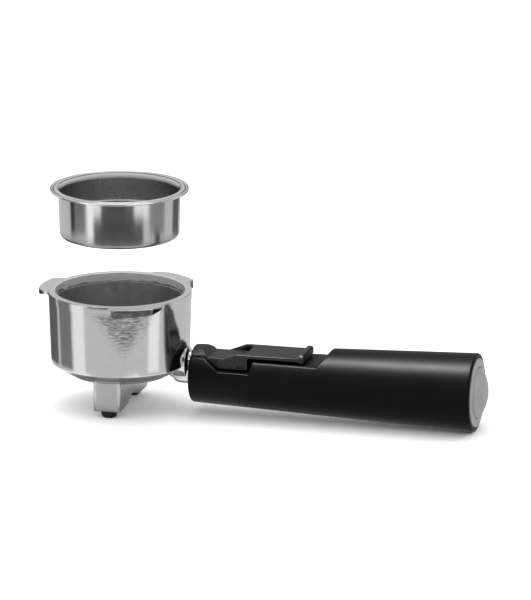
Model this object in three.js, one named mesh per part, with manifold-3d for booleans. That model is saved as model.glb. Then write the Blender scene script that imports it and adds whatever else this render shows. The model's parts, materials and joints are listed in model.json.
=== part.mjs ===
// A domestic espresso portafilter (the filter holder of an espresso machine) with its filter basket
// lifted straight up out of it.
//
// A cast cup with three bayonet lugs carries a double spout below and a short neck at the side.
// The neck's tang is bolted into a hollow, tapered handle. A clip lever in the top of the handle
// flips forward about a cross pin, and its lip then holds the basket's rim down.
//
// Millimetres, +Z up. The group's origin is on the table, below the middle of the whole object.
// Inside the group, the cup's axis is X = Y = 0 and the handle points along +X.

import * as THREE from "three";
import { mergeVertices } from "three/addons/utils/BufferGeometryUtils.js";
import Module from "manifold-3d";

const wasm = await Module();
wasm.setup();

// ---------------------------------------------------------------- driving dimensions

const GAP = 0.3; // between two pieces that touch
const ROUND_STEPS = 48; // facets round the cup, the basket and the handle
const SMALL_STEPS = 24; // facets round screws, washers and tips
const PAST = 5; // how far a cutting tool runs past what it cuts

// Basket
const BASKET_DEPTH = 21.5; // top of the rim to the underside
const BASKET_WALL = 0.8;
const BASKET_RIM_THICK = 1.3;
const BASKET_DRAFT = 0.6; // how much narrower the basket is at its floor
const BASKET_CORNER_R = 2; // outside, between wall and floor
const BASKET_LIFT = 44.2; // its rim's underside above the cup's rim, as it hovers
const BASKET_OUTLET_R = 0.8;
const SCREEN_DEPTH = 12; // basket rim to the perforated inner floor
const SCREEN_THICK = 0.8;
const SCREEN_SKIRT = 4; // the turned-down edge of the inner floor

// Cup
const CUP_RIM_R = 31;
const CUP_DRAFT = 1; // how much narrower the outside is at the foot of its wall
const CUP_MOUTH_R = 28.1;
const CUP_CAVITY_DRAFT = 0.8;
const RIM_MARGIN = 1; // the basket's rim ends this far inside the cup's rim
const BASKET_PLAY = 1.7; // between the basket's wall and the cup's mouth
const ROOM_BELOW_BASKET = 9.5;
const CUP_FUNNEL = 1.6; // fall of the cup's floor towards its drains
const CUP_FLOOR = 4; // cup floor's thickness at its middle
const CUP_FOOT_CONE = 8; // width of the cone between the wall and the flat underside
const CUP_FOOT_RISE = 5.2; // and its height
const DRAIN_R = 3;
const DRAIN_OFFSET = 10; // a drain's centre from the cup's axis

// Bayonet lugs, one every 120 degrees, flush with the rim
const LUG_COUNT = 3;
const LUG_REACH = 4.5; // beyond the cup's rim
const LUG_THICK = 3.8;
const LUG_FIRST_DEG = 60; // middle of the first lug, from the handle's direction
const LUG_HALF_DEG = 18;
const LUG_LEAD_DEG = 9; // the sloping lead-in at its leading end
const LUG_LEAD_RISE = 2;

// Double spout
const SPOUT_HALF_LENGTH = 22.8; // across, along Y
const SPOUT_HALF_WIDTH = 6.2;
const SPOUT_CORNER_R = 2;
const LEG_CLEARANCE = 3.1; // table to the legs' undersides
const LEG_LENGTH = 13.3; // outer end of a leg to the arch
const ARCH_RISE = 3.5;
const CHANNEL_HALF_WIDTH = 2.6;
const CHANNEL_DEPTH = 5;
const OUTLET_R = 1.9;
const OUTLET_Y = 18.2;
const TIP_R = 3.45;
const TIP_WALL = 1.3;
const TIP_INSERT = 4.5; // length of a tip inside its leg
const GASKET_THICK = 0.8;
const GASKET_R = 5;
const SPOUT_SCREW_R = 2;
const SPOUT_SCREW_HEAD_R = 3.6;
const SPOUT_SCREW_HEAD_H = 2.4;
const SPOUT_SCREW_BITE = 5; // thread inside the spout
const WASHER_THICK = 1;

// Neck and tang, cast in one with the cup
const NECK_GAP = 2.3; // cup's rim to the handle's front face, along X
const NECK_HALF_WIDTH = 4.8;
const NECK_BOSS_R = 7; // where the neck leaves the cup's wall
const TANG_HALF_WIDTH = 4;
const TANG_HEIGHT = 6.4;
const TANG_LENGTH = 46.7;
const TANG_WEB = 1.7; // handle wall between the tang and the lever's pockets
const NECK_BELOW_PARTING = 0.25; // neck's top below the carrier's parting line

// Handle
const HANDLE_BELOW_RIM = 35.05; // handle's axis below the cup's rim
const HANDLE_LENGTH = 124.8;
const HANDLE_FRONT_R = 12.55;
const HANDLE_END_R = 17;
const HANDLE_EDGE_R = 1;
const HANDLE_WALL = 2.8;
const BULKHEAD_S = 64.7; // where the rear hollow starts, from the handle's front face

// Recess for the lever. Heights are given as a depth below the top line of the handle's front
// end, and lengths (S) from the handle's front face.
const PARTING_DEPTH = 2.85; // line between the carrier's front block and the handle
const RECESS_DEPTH = 3.2; // floor below the thumb plate
const POCKET_DEPTH = 8.05; // floor of the side pockets that the lever's ears hang in
const POCKET_FRONT_S = 6.4;
const POCKET_FRONT_FOOT_S = 13.4;
const POCKET_REAR_FOOT_S = 27.3;
const POCKET_REAR_S = 28.4;
const FINGER_ROOM = 6; // recess floor behind the lever's lip
const RECESS_RAMP = 4.5; // length of the slope from the floor's end to the surface
const RECESS_RAMP_RISE = 5.4;

// Lever carrier
const CARRIER_HALF_WIDTH = 7.6;
const CARRIER_FRONT_S = 4.3; // front end of the rib below the block
const BLOCK_TOP_S = 4.7; // round-topped front block ends here
const BLOCK_RAMP_S = 7.8; // and its ramp meets the flat here
const CARRIER_SCREW_S = 23.6;
const CARRIER_SCREW_R = 1.5;
const CARRIER_SCREW_HEAD_R = 2.9;
const CARRIER_SCREW_BITE = 3; // thread inside the tang

// Clip lever. T is the distance from its pin along the thumb plate at rest, N is above the pin.
const PIVOT_S = 14.2;
const PIVOT_DEPTH = 5.55;
const PIN_R = 1;
const EAR_THICK = 1.6;
const EAR_SKIN = 0.5; // left over the pin's ends, which are hidden in the ears
const EAR_NOSE_R = 2.1;
const EAR_BOTTOM_N = -1.9;
const EAR_REAR_T = 12.1;
const EAR_SHOULDER_T = 7; // where the ear's sloping top reaches the plate's top
const EAR_NUB_R = 0.7;
const EAR_NUB_T = 4.3;
const EAR_NUB_N = -0.4;
const EAR_NUB_OUT = 0.3;
const EAR_WINDOW = [3.3, 1.7]; // small moulded recess in the ear's outer face
const EAR_WINDOW_T = 8.3;
const EAR_WINDOW_DEEP = 0.5;
const PLATE_FRONT_T = 10.5;
const PLATE_TOP_N = 5;
const PLATE_THICK = 1.8;
const LIP_THICK = 2;
const LIP_RISE = 1.6; // above the plate's top
const LIP_DROP = 0.4; // below the plate's underside
const HOOK_DEG = 111; // swing that brings the lip over the basket's rim
const HOOK_PLAY = 0.5; // between the lip's inner face and the rim's edge then

// Tie bolt through the handle's bulkhead into the tang
const BOLT_R = 2;
const BOLT_HEAD_R = 3.8;
const BOLT_HEAD_H = 4;
const BOLT_BITE = 12;
const BOLT_WASHER_R = 5;
const LOCK_WASHER_R = 3.9;
const LOCK_WASHER_SLOT = 1.2;

// End cap
const CAP_SEAT_WALL = 1.9; // handle wall left round the cap
const CAP_SEAT_DEEP = 2;
const CAP_PROUD = 0.6; // flange beyond the handle's end
const CAP_DOME_R = 11;
const CAP_DOME_SPHERE_R = 19;
const CAP_DOME_STEP = 0.5;
const CAP_SKIRT_LENGTH = 8;
const CAP_WALL = 1.6;
const CAP_RING_R = 0.8; // section of the sealing ring

// ---------------------------------------------------------------- places that follow

const AXIS_Z = HANDLE_END_R; // the handle's end rests on the table, and so do the tips
const RIM_Z = AXIS_Z + HANDLE_BELOW_RIM;
const CAVITY_DEPTH = BASKET_DEPTH + ROOM_BELOW_BASKET;
const CAVITY_FLOOR_Z = RIM_Z - CAVITY_DEPTH;
const UNDERSIDE_Z = CAVITY_FLOOR_Z - CUP_FUNNEL - CUP_FLOOR;
const CUP_FOOT_R = CUP_RIM_R - CUP_DRAFT;
const UNDERSIDE_R = CUP_FOOT_R - CUP_FOOT_CONE;
const LUG_R = CUP_RIM_R + LUG_REACH;

const BASKET_RIM_R = CUP_RIM_R - RIM_MARGIN;
const BASKET_R = CUP_MOUTH_R - BASKET_PLAY;
const BASKET_TOP_Z = RIM_Z + BASKET_LIFT + BASKET_RIM_THICK;

const SPOUT_TOP_Z = UNDERSIDE_Z - GAP;
const HANDLE_X = CUP_RIM_R + NECK_GAP;
const HANDLE_END_X = HANDLE_X + HANDLE_LENGTH;
const TAPER = (HANDLE_END_R - HANDLE_FRONT_R) / HANDLE_LENGTH;

const PARTING_Z = AXIS_Z + HANDLE_FRONT_R - PARTING_DEPTH;
const RECESS_Z = AXIS_Z + HANDLE_FRONT_R - RECESS_DEPTH;
const POCKET_Z = AXIS_Z + HANDLE_FRONT_R - POCKET_DEPTH;
const PIVOT_Z = AXIS_Z + HANDLE_FRONT_R - PIVOT_DEPTH;
const PIVOT_X = HANDLE_X + PIVOT_S;

const TANG_TOP_Z = POCKET_Z - TANG_WEB - GAP;
const TANG_Z = TANG_TOP_Z - TANG_HEIGHT / 2;
const TANG_END_X = HANDLE_X + TANG_LENGTH;
const NECK_TOP_Z = PARTING_Z - NECK_BELOW_PARTING;
const NECK_BOTTOM_Z = TANG_TOP_Z - TANG_HEIGHT - 0.1;

// The lip's inner face comes to rest just behind the seated basket's rim: the rim's edge, seen
// from the pin after the swing, is this far along the plate.
const HOOK = THREE.MathUtils.degToRad(HOOK_DEG);
const RIM_EDGE_X = BASKET_RIM_R - PIVOT_X;
const RIM_EDGE_Z = RIM_Z + BASKET_RIM_THICK + GAP - PIVOT_Z;
const LIP_T = RIM_EDGE_X * Math.cos(HOOK) + RIM_EDGE_Z * Math.sin(HOOK) + HOOK_PLAY;
const LIP_END_S = PIVOT_S + LIP_T + LIP_THICK;
const RECESS_END_S = LIP_END_S + FINGER_ROOM;

const EAR_INNER_Y = CARRIER_HALF_WIDTH + GAP;
const EAR_OUTER_Y = EAR_INNER_Y + EAR_THICK;

const CAP_R = HANDLE_END_R - CAP_SEAT_WALL - GAP;
const DOME_RISE = CAP_DOME_SPHERE_R - Math.sqrt(CAP_DOME_SPHERE_R ** 2 - CAP_DOME_R ** 2);
const CAP_FACE_X = HANDLE_END_X + CAP_PROUD;
const CAP_TIP_X = CAP_FACE_X + CAP_DOME_STEP + DOME_RISE;

const handleRadius = (x) => HANDLE_FRONT_R + TAPER * (x - HANDLE_X);

// ---------------------------------------------------------------- shape helpers

// A closed geometry as a solid that can be joined and cut.
function solid(geometry) {
  const bare = geometry.index ? geometry.toNonIndexed() : geometry.clone();
  bare.deleteAttribute("normal");
  bare.deleteAttribute("uv");
  const merged = mergeVertices(bare, 1e-4);
  return new wasm.Manifold(
    new wasm.Mesh({
      numProp: 3,
      vertProperties: merged.attributes.position.array,
      triVerts: new Uint32Array(merged.index.array),
    }),
  );
}

// A solid back as a geometry, with flat-shaded faces.
function geometryOf(manifold) {
  const mesh = manifold.getMesh();
  const geometry = new THREE.BufferGeometry();
  geometry.setAttribute("position", new THREE.BufferAttribute(mesh.vertProperties, 3));
  geometry.setIndex(new THREE.BufferAttribute(mesh.triVerts, 1));
  const flat = geometry.toNonIndexed();
  flat.computeVertexNormals();
  return flat;
}

// A shape from corner points, or from a function that draws on it.
function outline(points) {
  return new THREE.Shape(points.map(([x, y]) => new THREE.Vector2(x, y)));
}

// A closed profile of [radius, height] points turned about +Z, listed bottom outside to top inside.
function turned(profile, steps = ROUND_STEPS) {
  const points = profile.map(([r, z]) => new THREE.Vector2(r, z));
  return new THREE.LatheGeometry([...points, points[0].clone()], steps).rotateX(Math.PI / 2);
}

// The same profile turned about +X through the height z, with its heights read along X.
function turnedAlongX(profile, z, steps = ROUND_STEPS) {
  return turned(profile, steps)
    .rotateZ(Math.PI / steps)
    .rotateY(Math.PI / 2)
    .translate(0, 0, z);
}

// An outline in the XZ plane, extruded along Y from y0 to y1.
function extrudedAlongY(shape, y0, y1) {
  return new THREE.ExtrudeGeometry(shape, { depth: y1 - y0, bevelEnabled: false, curveSegments: 8 })
    .rotateX(Math.PI / 2)
    .translate(0, y1, 0);
}

// An outline in the YZ plane, extruded along X from x0 to x1.
function extrudedAlongX(shape, x0, x1) {
  return new THREE.ExtrudeGeometry(shape, { depth: x1 - x0, bevelEnabled: false, curveSegments: 8 })
    .rotateX(Math.PI / 2)
    .rotateZ(Math.PI / 2)
    .translate(x0, 0, 0);
}

function boxBetween(low, high) {
  const size = high.map((value, i) => value - low[i]);
  const middle = high.map((value, i) => (value + low[i]) / 2);
  return new THREE.BoxGeometry(...size).translate(...middle);
}

// An upright rod between two heights.
function rod(r, z0, z1, x = 0, y = 0, steps = SMALL_STEPS) {
  return new THREE.CylinderGeometry(r, r, z1 - z0, steps)
    .rotateX(Math.PI / 2)
    .translate(x, y, (z0 + z1) / 2);
}

function rodAlongX(r, x0, x1, z, steps = SMALL_STEPS) {
  return new THREE.CylinderGeometry(r, r, x1 - x0, steps)
    .rotateZ(Math.PI / 2)
    .translate((x0 + x1) / 2, 0, z);
}

function rodAlongY(r, halfLength, x, z, steps = SMALL_STEPS) {
  return new THREE.CylinderGeometry(r, r, 2 * halfLength, steps).translate(x, 0, z);
}

// Points on a quarter or other arc, from one angle to another, as [x, y].
function arc(cx, cy, r, fromDeg, toDeg, steps) {
  return Array.from({ length: steps + 1 }, (_, i) => {
    const angle = THREE.MathUtils.degToRad(fromDeg + ((toDeg - fromDeg) * i) / steps);
    return [cx + r * Math.cos(angle), cy + r * Math.sin(angle)];
  });
}

function addAll(first, ...others) {
  return others.reduce((sum, other) => sum.add(other), first);
}

function cutAll(first, ...others) {
  return others.reduce((rest, other) => rest.subtract(other), first);
}

// ---------------------------------------------------------------- cup, lugs and neck

// One lug: a flat sector flush with the rim, whose underside rises at the leading end.
function lug(middleDeg) {
  const inner = CUP_RIM_R - 1.5;
  const from = middleDeg - LUG_HALF_DEG;
  const to = middleDeg + LUG_HALF_DEG;
  const sector = outline([
    ...arc(0, 0, LUG_R, from, to, 10),
    ...arc(0, 0, inner, to, from, 10),
  ]);
  const plate = new THREE.ExtrudeGeometry(sector, { depth: LUG_THICK, bevelEnabled: false });
  plate.translate(0, 0, RIM_Z - LUG_THICK);
  // The wedge's edge lies where the slope starts, square to the lug's arc.
  const slope = THREE.MathUtils.degToRad(LUG_LEAD_DEG) * LUG_R;
  const wedge = extrudedAlongY(
    outline([
      [0, 0],
      [2 * slope, 0],
      [2 * slope, 2 * LUG_LEAD_RISE],
    ]),
    -LUG_REACH,
    LUG_REACH * 2,
  );
  wedge.rotateZ(Math.PI / 2).translate(LUG_R, 0, RIM_Z - LUG_THICK);
  wedge.rotateZ(THREE.MathUtils.degToRad(to - LUG_LEAD_DEG));
  return solid(plate).subtract(solid(wedge));
}

// The neck's section: a round top on straight sides, and a narrower rounded keel.
function neckSection() {
  const roundZ = NECK_TOP_Z - NECK_HALF_WIDTH;
  const keelR = 1.6;
  const keelY = NECK_HALF_WIDTH - 0.5 - keelR;
  return outline([
    ...arc(0, roundZ, NECK_HALF_WIDTH, 0, 180, 12),
    ...arc(-keelY, NECK_BOTTOM_Z + keelR, keelR, 180, 270, 4),
    ...arc(keelY, NECK_BOTTOM_Z + keelR, keelR, 270, 360, 4),
  ]);
}

function holderCup() {
  const outside = turned([
    [0, UNDERSIDE_Z],
    [UNDERSIDE_R, UNDERSIDE_Z],
    ...arc(CUP_FOOT_R - 1.2, UNDERSIDE_Z + CUP_FOOT_RISE, 1.2, -50, 0, 3),
    [CUP_RIM_R, RIM_Z - 0.4],
    [CUP_RIM_R - 0.4, RIM_Z],
    [0, RIM_Z],
  ]);
  const cavityFootR = CUP_MOUTH_R - CUP_CAVITY_DRAFT;
  const cavity = turned([
    [0, CAVITY_FLOOR_Z - CUP_FUNNEL],
    [DRAIN_OFFSET, CAVITY_FLOOR_Z - CUP_FUNNEL],
    ...arc(cavityFootR - 3, CAVITY_FLOOR_Z + 3, 3, -75, 0, 4),
    [CUP_MOUTH_R, RIM_Z - 0.4],
    [CUP_MOUTH_R + 0.4, RIM_Z],
    [CUP_MOUTH_R + 0.4, RIM_Z + PAST],
    [0, RIM_Z + PAST],
  ]);

  const neckEndX = HANDLE_X - GAP;
  const neckFootX = CUP_FOOT_R - 6;
  const neck = extrudedAlongX(neckSection(), neckFootX - 2, neckEndX);
  // The keel's front end slopes up into the cup's underside.
  const keelSlope = extrudedAlongY(
    outline([
      [neckFootX - PAST, NECK_BOTTOM_Z - PAST],
      [neckFootX + 1.8, NECK_BOTTOM_Z - PAST],
      [neckFootX + 1.8, NECK_BOTTOM_Z],
      [neckFootX - PAST, UNDERSIDE_Z + PAST],
    ]),
    -NECK_BOSS_R,
    NECK_BOSS_R,
  );
  const bossZ = NECK_TOP_Z - NECK_HALF_WIDTH;
  const boss = turnedAlongX(
    [
      [0, CUP_FOOT_R - 4],
      [NECK_BOSS_R, CUP_FOOT_R - 4],
      [NECK_BOSS_R, CUP_RIM_R - 0.9],
      ...arc(NECK_BOSS_R, neckEndX - 0.2, NECK_BOSS_R - NECK_HALF_WIDTH, 270, 180, 4),
      [0, neckEndX - 0.2],
    ],
    bossZ,
    32,
  );
  const tang = boxBetween(
    [neckEndX - 1, -TANG_HALF_WIDTH, TANG_Z - TANG_HEIGHT / 2],
    [TANG_END_X, TANG_HALF_WIDTH, TANG_TOP_Z],
  );

  const lugs = Array.from({ length: LUG_COUNT }, (_, i) => lug(LUG_FIRST_DEG + (360 / LUG_COUNT) * i));
  const whole = addAll(
    solid(outside),
    solid(neck).subtract(solid(keelSlope)),
    solid(boss),
    solid(tang),
    ...lugs,
  );

  const drains = [-1, 1].map((side) =>
    solid(rod(DRAIN_R, UNDERSIDE_Z - PAST, CAVITY_FLOOR_Z, 0, side * DRAIN_OFFSET)),
  );
  const screwHole = rod(SPOUT_SCREW_R + GAP, UNDERSIDE_Z - PAST, CAVITY_FLOOR_Z);
  const gasketSeat = rod(GASKET_R + GAP, UNDERSIDE_Z - PAST, UNDERSIDE_Z + GASKET_THICK + GAP);
  const boltHole = rodAlongX(BOLT_R + GAP, TANG_END_X - BOLT_BITE - 1, TANG_END_X + PAST, TANG_Z);
  const carrierScrewHole = rod(
    CARRIER_SCREW_R + GAP,
    TANG_TOP_Z - CARRIER_SCREW_BITE - GAP,
    TANG_TOP_Z + PAST,
    HANDLE_X + CARRIER_SCREW_S,
  );
  return cutAll(
    whole,
    solid(cavity),
    ...drains,
    solid(screwHole),
    solid(gasketSeat),
    solid(boltHole),
    solid(carrierScrewHole),
  );
}

// ---------------------------------------------------------------- spout

// Side view of the twin legs, with a shallow round arch between them.
function spoutSideView() {
  const legInnerY = SPOUT_HALF_LENGTH - LEG_LENGTH;
  const archR = (legInnerY ** 2 + ARCH_RISE ** 2) / (2 * ARCH_RISE);
  const halfDeg = THREE.MathUtils.radToDeg(Math.asin(legInnerY / archR));
  return outline([
    [-SPOUT_HALF_LENGTH, SPOUT_TOP_Z],
    [-SPOUT_HALF_LENGTH, LEG_CLEARANCE],
    ...arc(0, LEG_CLEARANCE + ARCH_RISE - archR, archR, 90 + halfDeg, 90 - halfDeg, 10),
    [SPOUT_HALF_LENGTH, LEG_CLEARANCE],
    [SPOUT_HALF_LENGTH, SPOUT_TOP_Z],
  ]);
}

function spoutBlock() {
  const wall = extrudedAlongX(spoutSideView(), -SPOUT_HALF_WIDTH, SPOUT_HALF_WIDTH);
  const cornerX = SPOUT_HALF_WIDTH - SPOUT_CORNER_R;
  const cornerY = SPOUT_HALF_LENGTH - SPOUT_CORNER_R;
  const plan = outline([
    ...arc(cornerX, cornerY, SPOUT_CORNER_R, 0, 90, 5),
    ...arc(-cornerX, cornerY, SPOUT_CORNER_R, 90, 180, 5),
    ...arc(-cornerX, -cornerY, SPOUT_CORNER_R, 180, 270, 5),
    ...arc(cornerX, -cornerY, SPOUT_CORNER_R, 270, 360, 5),
  ]);
  const column = new THREE.ExtrudeGeometry(plan, { depth: RIM_Z, bevelEnabled: false });

  // Two troughs lead from the drains to the outlets, either side of the screw's boss.
  const troughs = [-1, 1].map((side) => {
    const near = side * (DRAIN_OFFSET - DRAIN_R);
    const far = side * (OUTLET_Y + OUTLET_R);
    return boxBetween(
      [-CHANNEL_HALF_WIDTH, Math.min(near, far), SPOUT_TOP_Z - CHANNEL_DEPTH],
      [CHANNEL_HALF_WIDTH, Math.max(near, far), SPOUT_TOP_Z + PAST],
    );
  });
  const outlets = [-1, 1].flatMap((side) => [
    rod(OUTLET_R, 0, SPOUT_TOP_Z - CHANNEL_DEPTH + 1, 0, side * OUTLET_Y),
    rod(TIP_R + GAP, 0, LEG_CLEARANCE + TIP_INSERT + GAP, 0, side * OUTLET_Y),
  ]);
  const screwHole = rod(SPOUT_SCREW_R + GAP, SPOUT_TOP_Z - SPOUT_SCREW_BITE - 1, SPOUT_TOP_Z + PAST);
  return cutAll(
    solid(wall).intersect(solid(column)),
    ...[...troughs, ...outlets, screwHole].map(solid),
  );
}

// A sealing washer in a seat under the cup, round the screw.
function spoutGasket() {
  const z = UNDERSIDE_Z;
  const hole = SPOUT_SCREW_R + GAP;
  return turned(
    [
      [hole, z],
      [GASKET_R, z],
      [GASKET_R, z + GASKET_THICK],
      [hole, z + GASKET_THICK],
    ],
    SMALL_STEPS,
  );
}

const SPOUT_WASHER_Z = CAVITY_FLOOR_Z - CUP_FUNNEL + GAP;
const SPOUT_HEAD_Z = SPOUT_WASHER_Z + WASHER_THICK + GAP;

function spoutScrewWasher() {
  const hole = SPOUT_SCREW_R + GAP;
  const edge = SPOUT_SCREW_HEAD_R + 0.9;
  return turned(
    [
      [hole, SPOUT_WASHER_Z],
      [edge, SPOUT_WASHER_Z],
      [edge, SPOUT_WASHER_Z + WASHER_THICK],
      [hole, SPOUT_WASHER_Z + WASHER_THICK],
    ],
    SMALL_STEPS,
  );
}

// Two crossed slots for a screwdriver, as cutting boxes above z.
function crossSlots(x, z, length, width, depth) {
  const half = length / 2;
  return [
    boxBetween([x - half, -width / 2, z - depth], [x + half, width / 2, z + PAST]),
    boxBetween([x - width / 2, -half, z - depth], [x + width / 2, half, z + PAST]),
  ];
}

function spoutScrew() {
  const top = SPOUT_HEAD_Z + SPOUT_SCREW_HEAD_H;
  const body = turned(
    [
      [0, SPOUT_TOP_Z - SPOUT_SCREW_BITE],
      [SPOUT_SCREW_R, SPOUT_TOP_Z - SPOUT_SCREW_BITE],
      [SPOUT_SCREW_R, SPOUT_HEAD_Z],
      [SPOUT_SCREW_HEAD_R, SPOUT_HEAD_Z],
      [SPOUT_SCREW_HEAD_R, top - 0.9],
      [SPOUT_SCREW_HEAD_R - 0.9, top],
      [0, top],
    ],
    SMALL_STEPS,
  );
  return cutAll(solid(body), ...crossSlots(0, top, 4.4, 1, 1.4).map(solid));
}

// A soft tube end, pressed into its leg and rounded where it meets the table.
function outletTip(side) {
  const bore = TIP_R - TIP_WALL;
  const round = 0.6;
  return turned(
    [
      [bore, 0],
      ...arc(TIP_R - round, round, round, -90, 0, 3),
      [TIP_R, LEG_CLEARANCE + TIP_INSERT],
      [bore, LEG_CLEARANCE + TIP_INSERT],
    ],
    SMALL_STEPS,
  ).translate(0, side * OUTLET_Y, 0);
}

// ---------------------------------------------------------------- basket

function filterBasket() {
  const top = BASKET_TOP_Z;
  const under = top - BASKET_RIM_THICK;
  const floor = top - BASKET_DEPTH;
  const footR = BASKET_R - BASKET_DRAFT;
  const corner = BASKET_CORNER_R;
  const cornerZ = floor + corner;
  return turned([
    [BASKET_OUTLET_R, floor],
    ...arc(footR - corner, cornerZ, corner, -90, 0, 4),
    [BASKET_R, under],
    [BASKET_RIM_R - 0.5, under],
    [BASKET_RIM_R, under + BASKET_RIM_THICK / 2],
    [BASKET_RIM_R - 0.5, top],
    [BASKET_R + 0.4, top],
    [BASKET_R - BASKET_WALL, top - 1.2],
    ...arc(footR - corner, cornerZ, corner - BASKET_WALL, 0, -90, 4),
    [BASKET_OUTLET_R, floor + BASKET_WALL],
  ]);
}

// The perforated inner floor: a disc with its edge turned down along the basket's wall.
function basketScreen() {
  const top = BASKET_TOP_Z - SCREEN_DEPTH;
  const bottom = top - SCREEN_SKIRT;
  const drop = (BASKET_TOP_Z - bottom) / (BASKET_DEPTH - BASKET_CORNER_R);
  const edge = BASKET_R - BASKET_WALL - BASKET_DRAFT * drop - GAP;
  return turned([
    [0, top - SCREEN_THICK],
    [edge - SCREEN_THICK, top - SCREEN_THICK],
    [edge - SCREEN_THICK, bottom],
    [edge, bottom],
    [edge, top - 1],
    [edge - 1, top],
    [0, top],
  ]);
}

// ---------------------------------------------------------------- handle

// The tapered outside of the handle, as a profile of [radius, X].
function handleTaper(extra = 0) {
  const x0 = HANDLE_X;
  const x1 = HANDLE_END_X;
  const r = HANDLE_EDGE_R;
  return [
    [0, x0],
    ...arc(HANDLE_FRONT_R + extra - r, x0 + r, r, -90, 0, 4),
    ...arc(HANDLE_END_R + extra - r, x1 - r, r, 0, 90, 4),
    [0, x1],
  ];
}

// Side view of everything that is cut out of the handle's top.
function recessSideView() {
  const x = (s) => HANDLE_X + s;
  const exitS = RECESS_END_S + RECESS_RAMP;
  const high = AXIS_Z + HANDLE_END_R + PAST;
  return outline([
    [x(-PAST), PARTING_Z],
    [x(POCKET_FRONT_S), PARTING_Z],
    [x(POCKET_FRONT_FOOT_S), POCKET_Z],
    [x(POCKET_REAR_FOOT_S), POCKET_Z],
    [x(POCKET_REAR_S), RECESS_Z],
    [x(RECESS_END_S), RECESS_Z],
    [x(exitS), RECESS_Z + RECESS_RAMP_RISE],
    [x(exitS + RECESS_RAMP), high],
    [x(-PAST), high],
  ]);
}

function handleShell() {
  const body = solid(turnedAlongX(handleTaper(), AXIS_Z));
  const recess = extrudedAlongY(recessSideView(), -HANDLE_END_R - PAST, HANDLE_END_R + PAST);
  const ribSlot = boxBetween(
    [HANDLE_X + CARRIER_FRONT_S - GAP, -CARRIER_HALF_WIDTH - GAP, POCKET_Z],
    [HANDLE_X + POCKET_FRONT_FOOT_S + 1, CARRIER_HALF_WIDTH + GAP, AXIS_Z + HANDLE_END_R],
  );
  const tangSocket = boxBetween(
    [HANDLE_X - PAST, -TANG_HALF_WIDTH - GAP, TANG_Z - TANG_HEIGHT / 2 - GAP],
    [TANG_END_X + 2, TANG_HALF_WIDTH + GAP, TANG_TOP_Z + GAP],
  );
  const hollowX = HANDLE_X + BULKHEAD_S;
  const seatX = HANDLE_END_X - CAP_SEAT_DEEP;
  const hollow = turnedAlongX(
    [
      [0, hollowX],
      [handleRadius(hollowX) - HANDLE_WALL, hollowX],
      [handleRadius(seatX) - HANDLE_WALL, seatX],
      [CAP_R + GAP, seatX],
      [CAP_R + GAP, HANDLE_END_X + PAST],
      [0, HANDLE_END_X + PAST],
    ],
    AXIS_Z,
  );
  const boltHole = rodAlongX(BOLT_R + GAP, TANG_END_X - 1, hollowX + 1, TANG_Z);
  const screwHole = rod(
    CARRIER_SCREW_R + GAP,
    TANG_TOP_Z,
    POCKET_Z + PAST,
    HANDLE_X + CARRIER_SCREW_S,
  );
  return cutAll(body, ...[recess, ribSlot, tangSocket, hollow, boltHole, screwHole].map(solid));
}

// ---------------------------------------------------------------- lever carrier

const CARRIER_BOTTOM_Z = POCKET_Z + GAP;
const CARRIER_TOP_Z = RECESS_Z;
const SCREW_SEAT = 0.2; // screw head below the carrier's flat

// The countersunk head and shank of the carrier's screw, or its hole when it is grown by a gap.
function carrierScrewProfile(grow) {
  const top = CARRIER_TOP_Z - SCREW_SEAT;
  const shank = CARRIER_SCREW_R + grow;
  const head = CARRIER_SCREW_HEAD_R + grow;
  const end = TANG_TOP_Z - CARRIER_SCREW_BITE;
  return [
    [0, end],
    [shank, end],
    [shank, top - 0.5 - (head - shank)],
    [head, top - 0.5],
    [head, top + (grow > 0 ? PAST : 0)],
    [0, top + (grow > 0 ? PAST : 0)],
  ];
}

function leverCarrier() {
  const x = (s) => HANDLE_X + s;
  const high = AXIS_Z + HANDLE_END_R + PAST;
  const taper = solid(turnedAlongX(handleTaper(), AXIS_Z));
  const rampRise = HANDLE_FRONT_R - (CARRIER_TOP_Z - AXIS_Z);
  const slope = rampRise / (BLOCK_RAMP_S - BLOCK_TOP_S);
  const blockFloor = PARTING_Z + GAP;
  const blockView = outline([
    [x(-PAST), blockFloor],
    [x(BLOCK_RAMP_S - (blockFloor - CARRIER_TOP_Z) / slope), blockFloor],
    [x(BLOCK_TOP_S), CARRIER_TOP_Z + rampRise],
    [x(BLOCK_TOP_S), high],
    [x(-PAST), high],
  ]);
  const block = solid(extrudedAlongY(blockView, -HANDLE_END_R, HANDLE_END_R)).intersect(taper);
  const wallLean = (POCKET_REAR_S - POCKET_REAR_FOOT_S) / (RECESS_Z - POCKET_Z);
  const rearFoot = POCKET_REAR_FOOT_S - 1.5 * GAP;
  const ribView = outline([
    [x(CARRIER_FRONT_S), CARRIER_BOTTOM_Z],
    [x(rearFoot), CARRIER_BOTTOM_Z],
    [x(rearFoot + wallLean * (CARRIER_TOP_Z - CARRIER_BOTTOM_Z)), CARRIER_TOP_Z],
    [x(BLOCK_RAMP_S), CARRIER_TOP_Z],
    [x(BLOCK_TOP_S), CARRIER_TOP_Z + rampRise - 0.2],
    [x(CARRIER_FRONT_S), CARRIER_TOP_Z + rampRise - 0.2],
  ]);
  const rib = solid(extrudedAlongY(ribView, -CARRIER_HALF_WIDTH, CARRIER_HALF_WIDTH));
  const pinHole = rodAlongY(PIN_R + GAP, HANDLE_END_R, PIVOT_X, PIVOT_Z);
  const screwHole = turned(carrierScrewProfile(GAP), SMALL_STEPS).translate(x(CARRIER_SCREW_S), 0, 0);
  return cutAll(block.add(rib.intersect(taper)), solid(pinHole), solid(screwHole));
}

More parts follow.
